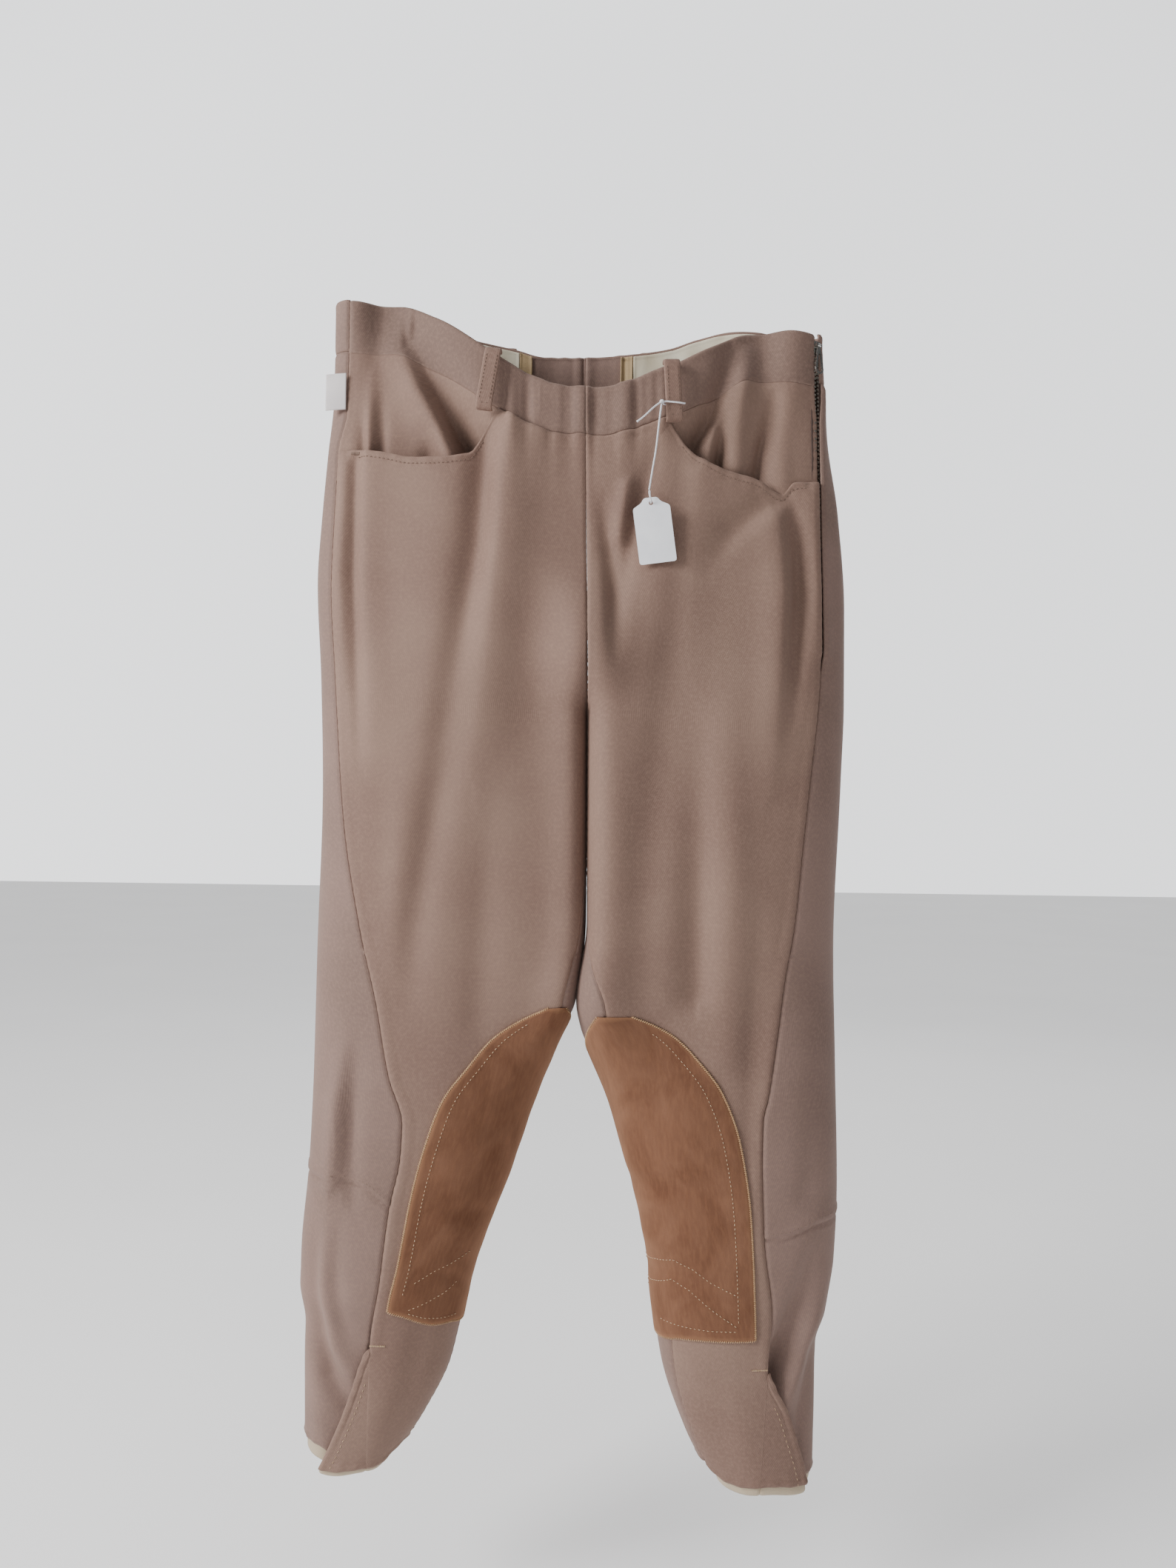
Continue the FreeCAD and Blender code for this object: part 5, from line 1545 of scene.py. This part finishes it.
PATCH_SEAM_INSET = {"right": 8.0, "left": 11.5}
PATCH_SEAM_END = {"right": 0.94, "left": 0.95}   # share of the way down where the inner seam stops


def make_patch_stitches(side, patch):
    """The overlocked edge of the suede, the piping along its front and the lines of stitches across it."""
    name = side.name
    points, out = patch.points, patch.out
    front = (points[::-1, 0], out[::-1, 0])
    runs = [front, (points[0], out[0]), (points[:, -1], out[:, -1])]
    edging = add_stitches(f"{name}_patch_overlock", [(p + o * 0.15, o) for p, o in runs], TAN_THREAD, "knee",
                          side, spacing=1.5, length=2.2, radius=0.3, slant=66, seed=5)
    cord = tube_mesh(f"{name}_patch_piping", front[0] + front[1] * -0.25, 0.5, TAN_THREAD)
    ride_or_bend(cord, "knee", side)
    at, outs = inset_line(patch, PATCH_SEAM_INSET[name])
    keep = slice(6, int(len(at) * PATCH_SEAM_END[name]))
    lines = [(at[keep] + outs[keep] * 0.12, outs[keep])]
    lines += [on_patch(side, line, 0.12) for line in CHEVRONS[name]]
    stitching = add_stitches(f"{name}_patch_stitches", lines, PALE_THREAD, "knee", side, spacing=3.0,
                             length=1.6, radius=0.24, seed=9)


# Belt loops and label --------------------

BELT_LOOPS = {   # name: (side, across at the top, on the back, lean of its lower end across in degrees)
    "right_front_belt_loop": (RIGHT, 61.5, False, 7.0),
    "left_front_belt_loop": (LEFT, 61.5, False, 0.0),
    "right_back_belt_loop": (RIGHT, 55.5, True, 0.0),
    "left_back_belt_loop": (LEFT, 48.0, True, 0.0),
}
LOOP_PROFILE = [(0.9, 1.2), (3.4, -0.6), (6.2, -0.2), (7.6, 2.6), (7.9, 8), (7.9, 22), (7.9, 36), (7.4, 40.4),
                (5.6, 43.2), (2.6, 44.0), (0.8, 43.0)]      # (outwards, down)


def smooth_path(points, count):
    """Points along a smooth curve near a list of points, ends included."""
    points = np.asarray(points, float)
    for _ in range(3):
        cut = [points[0]]
        for a, b in zip(points, points[1:]):
            cut += [a * 0.75 + b * 0.25, a * 0.25 + b * 0.75]
        points = np.array(cut + [points[-1]])
    along = np.concatenate([[0], np.cumsum(np.linalg.norm(np.diff(points, axis=0), axis=1))])
    at = np.linspace(0, along[-1], count)
    return np.stack([np.interp(at, along, points[:, k]) for k in range(points.shape[1])], -1)


def belt_loop_axes(side, across, behind, lean):
    """A belt loop's top point on the waistband and its downward and outward directions."""
    top = float(side.back_top(across) if behind else side.front_top(across)) + 1.0
    turn = float(side.turn_at(across, top))
    turn = 4 - turn if behind else turn
    slope = unit(side.skin(turn, top - LOOP_HEIGHT) - side.skin(turn, top))
    tilt = math.radians(lean)
    down = unit(slope * math.cos(tilt) + np.array([side.sign, 0, 0]) * math.sin(tilt))
    out = side.outward(turn, top - LOOP_HEIGHT / 2)
    return side.skin(turn, top), down, unit(out - down * np.dot(out, down))


def make_belt_loop(name, side, across, behind, lean):
    foot, down, out = belt_loop_axes(side, across, behind, lean)
    wide = np.cross(out, down)
    path = smooth_path(LOOP_PROFILE, 46)
    columns = np.linspace(-LOOP_WIDTH / 2, LOOP_WIDTH / 2, 13)
    line = foot + out * path[:, :1] + down * path[:, 1:]
    points = line[:, None, :] + wide * columns[None, :, None]
    outs = unit(np.cross(unit(np.gradient(line, axis=0)), wide))
    middle = foot + down * LOOP_HEIGHT / 2
    outs = np.where((outs * (line - middle)).sum(-1, keepdims=True) < 0, -outs, outs)
    crown = 0.28 * np.cos(columns / LOOP_WIDTH * math.pi) + 0.16 * bump(np.abs(columns) - 3.4, 0.9)
    outs = np.repeat(outs[:, None, :], len(columns), 1)
    points = points + outs * crown[None, :, None]
    shape = points.shape[:2]
    down_it = np.linspace(0, 52, len(path))[:, None]
    coords = np.stack([np.broadcast_to(columns, shape) + 40, np.broadcast_to(down_it, shape)], -1)
    obj = shell(f"{name}_cloth", points, outs, 1.5, TWILL, coords)
    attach(obj, "seat")
    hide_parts(name)
    runs = [(points[9:-9, k] + outs[9:-9, k] * 0.05, outs[9:-9, k]) for k in (2, len(columns) - 3)]
    row = len(path) - 8
    runs.append((points[row, 2:-2] + outs[row, 2:-2] * 0.1, outs[row, 2:-2]))
    stitching = stitch_mesh(f"{name}_stitches", runs, THREAD, spacing=2.6, length=1.8, radius=0.2, seed=3)
    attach(stitching, "seat")


def make_label():
    """The small white label folded into the right side seam, its mark left out."""
    low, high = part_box("side_label")
    low, high = np.array(low) / MM, np.array(high) / MM
    rows, columns = 22, 18
    across = np.linspace(0, 1, columns)[None, :]
    down = np.linspace(0, 1, rows)[:, None]
    x = high[0] - 0.4 - (high[0] - low[0] - 0.8) * across + 0 * down
    z = high[2] - 0.6 - (high[2] - low[2] - 1.2) * down - 0.8 * across
    curl = 1.6 * across ** 2 + 0.35 * np.sin(down * 5 + 0.6) * across
    y = (low[1] + high[1]) / 2 + curl + 0 * down
    points = np.stack([x, y, z], -1)
    out = np.zeros_like(points)
    out[..., 1] = -1
    coords = np.stack([x, z], -1)
    obj = shell("side_label_cloth", points, out, 0.45, LABEL, coords)
    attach(obj, "label")
    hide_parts("side_label")


# Zip --------------------

def zip_axes():
    top, end = np.array(ZIP_TOP), np.array(ZIP_LOWER_END)
    down = unit(end - top)
    facing = np.array(ZIP_FACING)
    outwards = unit(facing - down * np.dot(facing, down))
    return down, np.cross(outwards, down), outwards


def zip_strip(node, edges, steps, lift, thickness, material):
    """A strip of cloth along the zip, given its places across and down and how far out it stands."""
    down, wide, out = zip_axes()
    points = np.array(ZIP_TOP) + down * steps[:, None, None] + wide * edges[None, :, None] + out * lift
    shape = points.shape[:2]
    coords = np.stack([np.broadcast_to(edges, shape), np.broadcast_to(steps[:, None], shape)], -1)
    obj = shell(f"{node}_cloth", points, np.broadcast_to(out, points.shape).copy(), thickness, material, coords)
    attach(obj, "seat")
    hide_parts(node)
    return obj


def make_zip():
    steps = np.linspace(-2, ZIP_LENGTH, 90)
    for name, way in (("front", -1), ("back", 1)):
        edges = np.linspace(2.3, 5.2, 6) * way
        wave = 0.12 * np.sin(steps / 6.0 + way)
        lift = 0.2 + wave[:, None, None] * (np.abs(edges) / 5)[None, :, None]
        tape = zip_strip(f"zip_{name}_tape", edges, steps, lift, 0.5, ZIP_TAPE)
    steps = np.linspace(24, ZIP_LENGTH, 60)
    sag = -4.4 + 0.2 * np.sin(steps / 15)[:, None, None]
    guard = zip_strip("zip_guard", np.linspace(-6, 6, 12), steps, sag, LINING, TWILL)
    for node in ("zip_front_teeth", "zip_back_teeth", "zip_bottom_stop"):
        repaint(node, BRASS)
    for node in ("zip_slider", "zip_pull"):
        repaint(node, CHROME)


def repaint(node, material):
    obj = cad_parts[node]
    obj.data.materials.clear()
    obj.data.materials.append(material)


# Tag --------------------

def make_tag():
    string = make_string(STRING_COTTON)
    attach(string, "string")
    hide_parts("tag_string")
    make_string_ring()
    loop = make_end_loop()
    card = make_card()


def make_string_ring():
    """The string's loop round the belt loop, its knot and its cut tail."""
    half_wide, half_deep = LOOP_WIDTH / 2 + 2.0, 2.5
    centre = np.array(RING_CENTRE)
    square = 0.72   # makes the ring squarer than an ellipse
    ring = []
    for k in range(49):
        angle = 2 * math.pi * k / 48 + math.pi
        c, s = math.cos(angle), math.sin(angle)
        x = math.copysign(abs(c) ** square, c) * half_wide
        y = math.copysign(abs(s) ** square, s) * half_deep
        ring.append(centre + np.array([x, y, 0.5 * math.sin(2 * angle)]))
    knot = np.array(KNOT)
    turns = []
    for k in range(70):
        angle = k * 0.42
        rise = (k / 69 - 0.5) * 2.2
        size = 0.75 + 0.35 * math.sin(k * 0.9)
        turns.append(knot + np.array([math.cos(angle) * size, math.sin(angle) * size * 0.9, rise * 0.8]))
    tail_way = np.array([-17.0, -1.0, -14.5])
    tail = smooth_path([knot, knot + tail_way * 0.3 + (0, 0, 0.8), knot + tail_way * 0.7 + (0, 0, -0.4),
                        knot + tail_way], 30)
    radius = STRING / 2

    def tail_radius(share):
        return radius * (0.95 + 0.25 * ease((share - 0.9) * 10))

    parts = [tube_mesh("ring_part", ring, radius * 0.92, STRING_COTTON),
             tube_mesh("knot_part", turns, radius * 0.9, STRING_COTTON),
             tube_mesh("tail_part", tail, tail_radius, STRING_COTTON)]
    obj = merged("tag_string_ring", parts)
    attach(obj, "seat")
    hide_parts("tag_string_loop")


def tag_axes():
    tilt = math.radians(TAG_TILT)
    return (np.array([math.sin(tilt), 0, -math.cos(tilt)]), np.array([math.cos(tilt), 0, math.sin(tilt)]),
            np.array([0.0, -1.0, 0.0]))


def make_end_loop():
    """The string's end, looped through the tag's hole and over its top edge."""
    down, wide, out = tag_axes()
    centre = np.array(TAG_TOP) + down * (HOLE_DROP - END_LOOP)
    ring = []
    for k in range(37):
        angle = 2 * math.pi * k / 36
        ring.append(centre + down * math.cos(angle) * END_LOOP + out * math.sin(angle) * END_LOOP * 0.8
                    + wide * 0.2 * math.sin(3 * angle))
    obj = tube_mesh("tag_end_string", ring, STRING * 0.4, STRING_COTTON)
    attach(obj, "string")
    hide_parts("tag_end_loop")
    return obj


def make_card():
    """A shouldered card with rounded corners, a punched hole and a slight curl."""
    down, wide, out = tag_axes()
    width, length, thick = TAG_SIZE
    half = width / 2 - 0.2
    corners = [(0.2, -4.6, 1.6), (0.2, 4.6, 1.6), (3.4, 6.8, 1.4), (6.6, half, 1.6), (length - 0.2, half, 2.2),
               (length - 0.2, -half, 2.2), (6.6, -half, 1.6), (3.4, -6.8, 1.4)]
    outline = rounded_outline(corners)
    angles = np.linspace(0, 2 * math.pi, 25)[:-1]
    hole = [(HOLE_DROP + HOLE_RADIUS * math.cos(a), HOLE_RADIUS * math.sin(a)) for a in angles]
    obj = card_mesh("price_tag_card", outline, hole, thick * 0.8, down, wide, out)
    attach(obj, "tag")
    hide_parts("price_tag")
    return obj


def rounded_outline(corners, steps=5):
    points = []
    count = len(corners)
    for i, (a, b, radius) in enumerate(corners):
        here = np.array([a, b])
        before = np.array(corners[i - 1][:2])
        after = np.array(corners[(i + 1) % count][:2])
        start = here + unit(before - here) * radius
        end = here + unit(after - here) * radius
        for k in range(steps + 1):
            t = k / steps
            points.append(start * (1 - t) ** 2 + here * 2 * t * (1 - t) + end * t * t)
    return points


def card_mesh(name, outline, hole, thick, down, wide, out):
    """A thin plate with a hole, filled with even triangles so that it can curl."""
    import bmesh
    bm = bmesh.new()
    loops = []
    for line in (outline, hole):
        verts = [bm.verts.new((p[0], p[1], 0)) for p in line]
        loops += [bm.edges.new((verts[i], verts[(i + 1) % len(verts)])) for i in range(len(verts))]
    bmesh.ops.triangle_fill(bm, use_beauty=True, edges=loops)
    bmesh.ops.subdivide_edges(bm, edges=bm.edges[:], cuts=2, use_grid_fill=True)
    faces = bm.faces[:]
    made = bmesh.ops.extrude_face_region(bm, geom=faces)
    for v in [g for g in made["geom"] if isinstance(g, bmesh.types.BMVert)]:
        v.co.z += thick
    bmesh.ops.recalc_face_normals(bm, faces=bm.faces[:])
    mesh = bpy.data.meshes.new(name)
    bm.to_mesh(mesh)
    bm.free()
    flat = np.array([v.co for v in mesh.vertices])
    top = np.array(TAG_TOP)
    curl = -0.5 * (flat[:, 1] / 13) ** 2 + 0.35 * np.sin(flat[:, 0] / 18)
    lift = flat[:, 2:] - thick / 2 + curl[:, None] * 0.5
    at = top + down * flat[:, :1] + wide * flat[:, 1:2] + out * lift
    mesh.vertices.foreach_set("co", (at * MM).astype(np.float32).ravel())
    mesh.materials.append(CARD)
    mesh.update()
    obj = link(bpy.data.objects.new(name, mesh))
    set_attribute(obj, "cloth_at", np.column_stack([flat[:, :2] * MM, np.zeros(len(flat))]), "FLOAT_VECTOR")
    set_attribute(obj, "edge_at", np.full(len(flat), 0.01))
    return obj


# Making everything --------------------

make_tag()
for one_side in BOTH:
    make_front_band(one_side)
    make_back_band(one_side)
for one_side in BOTH:
    make_upper_leg(one_side)
    make_lower_leg(one_side)
    make_flap(one_side)
    make_hem_facings(one_side)
    make_pocket(one_side)
    make_cloth_stitches(one_side)
    make_patch_stitches(one_side, make_patch(one_side))
for loop_name, loop_place in BELT_LOOPS.items():
    make_belt_loop(loop_name, *loop_place)
make_label()
make_zip()


# Floor and light --------------------

FLOOR_DROP = 0.10         # from the lowest hem to the floor
FLOOR_REACH = 6.0
LIGHTS = {   # place, size and power
    "window": ((-1.75, -0.95, 0.45), 0.9, 58),
    "fill": ((1.6, -1.2, -0.2), 1.8, 2),
    "back": ((0.5, 1.6, 0.6), 1.6, 7),
}
LIT_POINT = (0, 0, -0.4)  # the lights face this point


def make_stage():
    height = CAD_BOX[0][2] - FLOOR_DROP
    mesh = bpy.data.meshes.new("floor")
    corners = ((-1, -1), (1, -1), (1, 1), (-1, 1))
    mesh.from_pydata([(x * FLOOR_REACH, y * FLOOR_REACH, height) for x, y in corners], [], [(0, 1, 2, 3)])
    mesh.materials.append(FLOOR)
    link(bpy.data.objects.new("floor", mesh))
    bpy.context.scene.world = studio_world()
    for name, light in LIGHTS.items():
        add_light(name, *light)


def studio_world():
    """A pale room, brightest behind the garment and on the window's side."""
    world = bpy.data.worlds.new("studio")
    world.use_nodes = True
    tree = world.node_tree
    background = tree.nodes["Background"]
    background.inputs["Color"].default_value = linear(240, 241, 243)
    way = tree.nodes.new("ShaderNodeTexCoord")
    parts = tree.nodes.new("ShaderNodeSeparateXYZ")
    tree.links.new(way.outputs["Generated"], parts.inputs[0])
    behind = ranged(tree, parts.outputs["Y"], 0.35, 0.85, 0.0, 1.9)
    beside = ranged(tree, parts.outputs["X"], 0.2, -0.9, 0.10, 0.5)
    above = ranged(tree, parts.outputs["Z"], 0.5, 1.0, 0.0, 1.3)
    total = added(tree, added(tree, behind, beside), above)
    tree.links.new(total, background.inputs["Strength"])
    return world


def added(tree, first, second):
    node = tree.nodes.new("ShaderNodeMath")
    node.operation = "ADD"
    tree.links.new(first, node.inputs[0])
    tree.links.new(second, node.inputs[1])
    return node.outputs[0]


def ranged(tree, value, low, high, start, end):
    node = tree.nodes.new("ShaderNodeMapRange")
    node.interpolation_type = "SMOOTHSTEP"
    tree.links.new(value, node.inputs["Value"])
    for name, number in (("From Min", low), ("From Max", high), ("To Min", start), ("To Max", end)):
        node.inputs[name].default_value = number
    return node.outputs[0]


def add_light(name, at, size, power):
    data = bpy.data.lights.new(name, "AREA")
    data.size = size
    data.energy = power
    light = link(bpy.data.objects.new(name, data))
    light.location = at
    light.rotation_euler = (Vector(LIT_POINT) - Vector(at)).to_track_quat("-Z", "Y").to_euler()


make_stage()

bpy.context.view_layer.update()
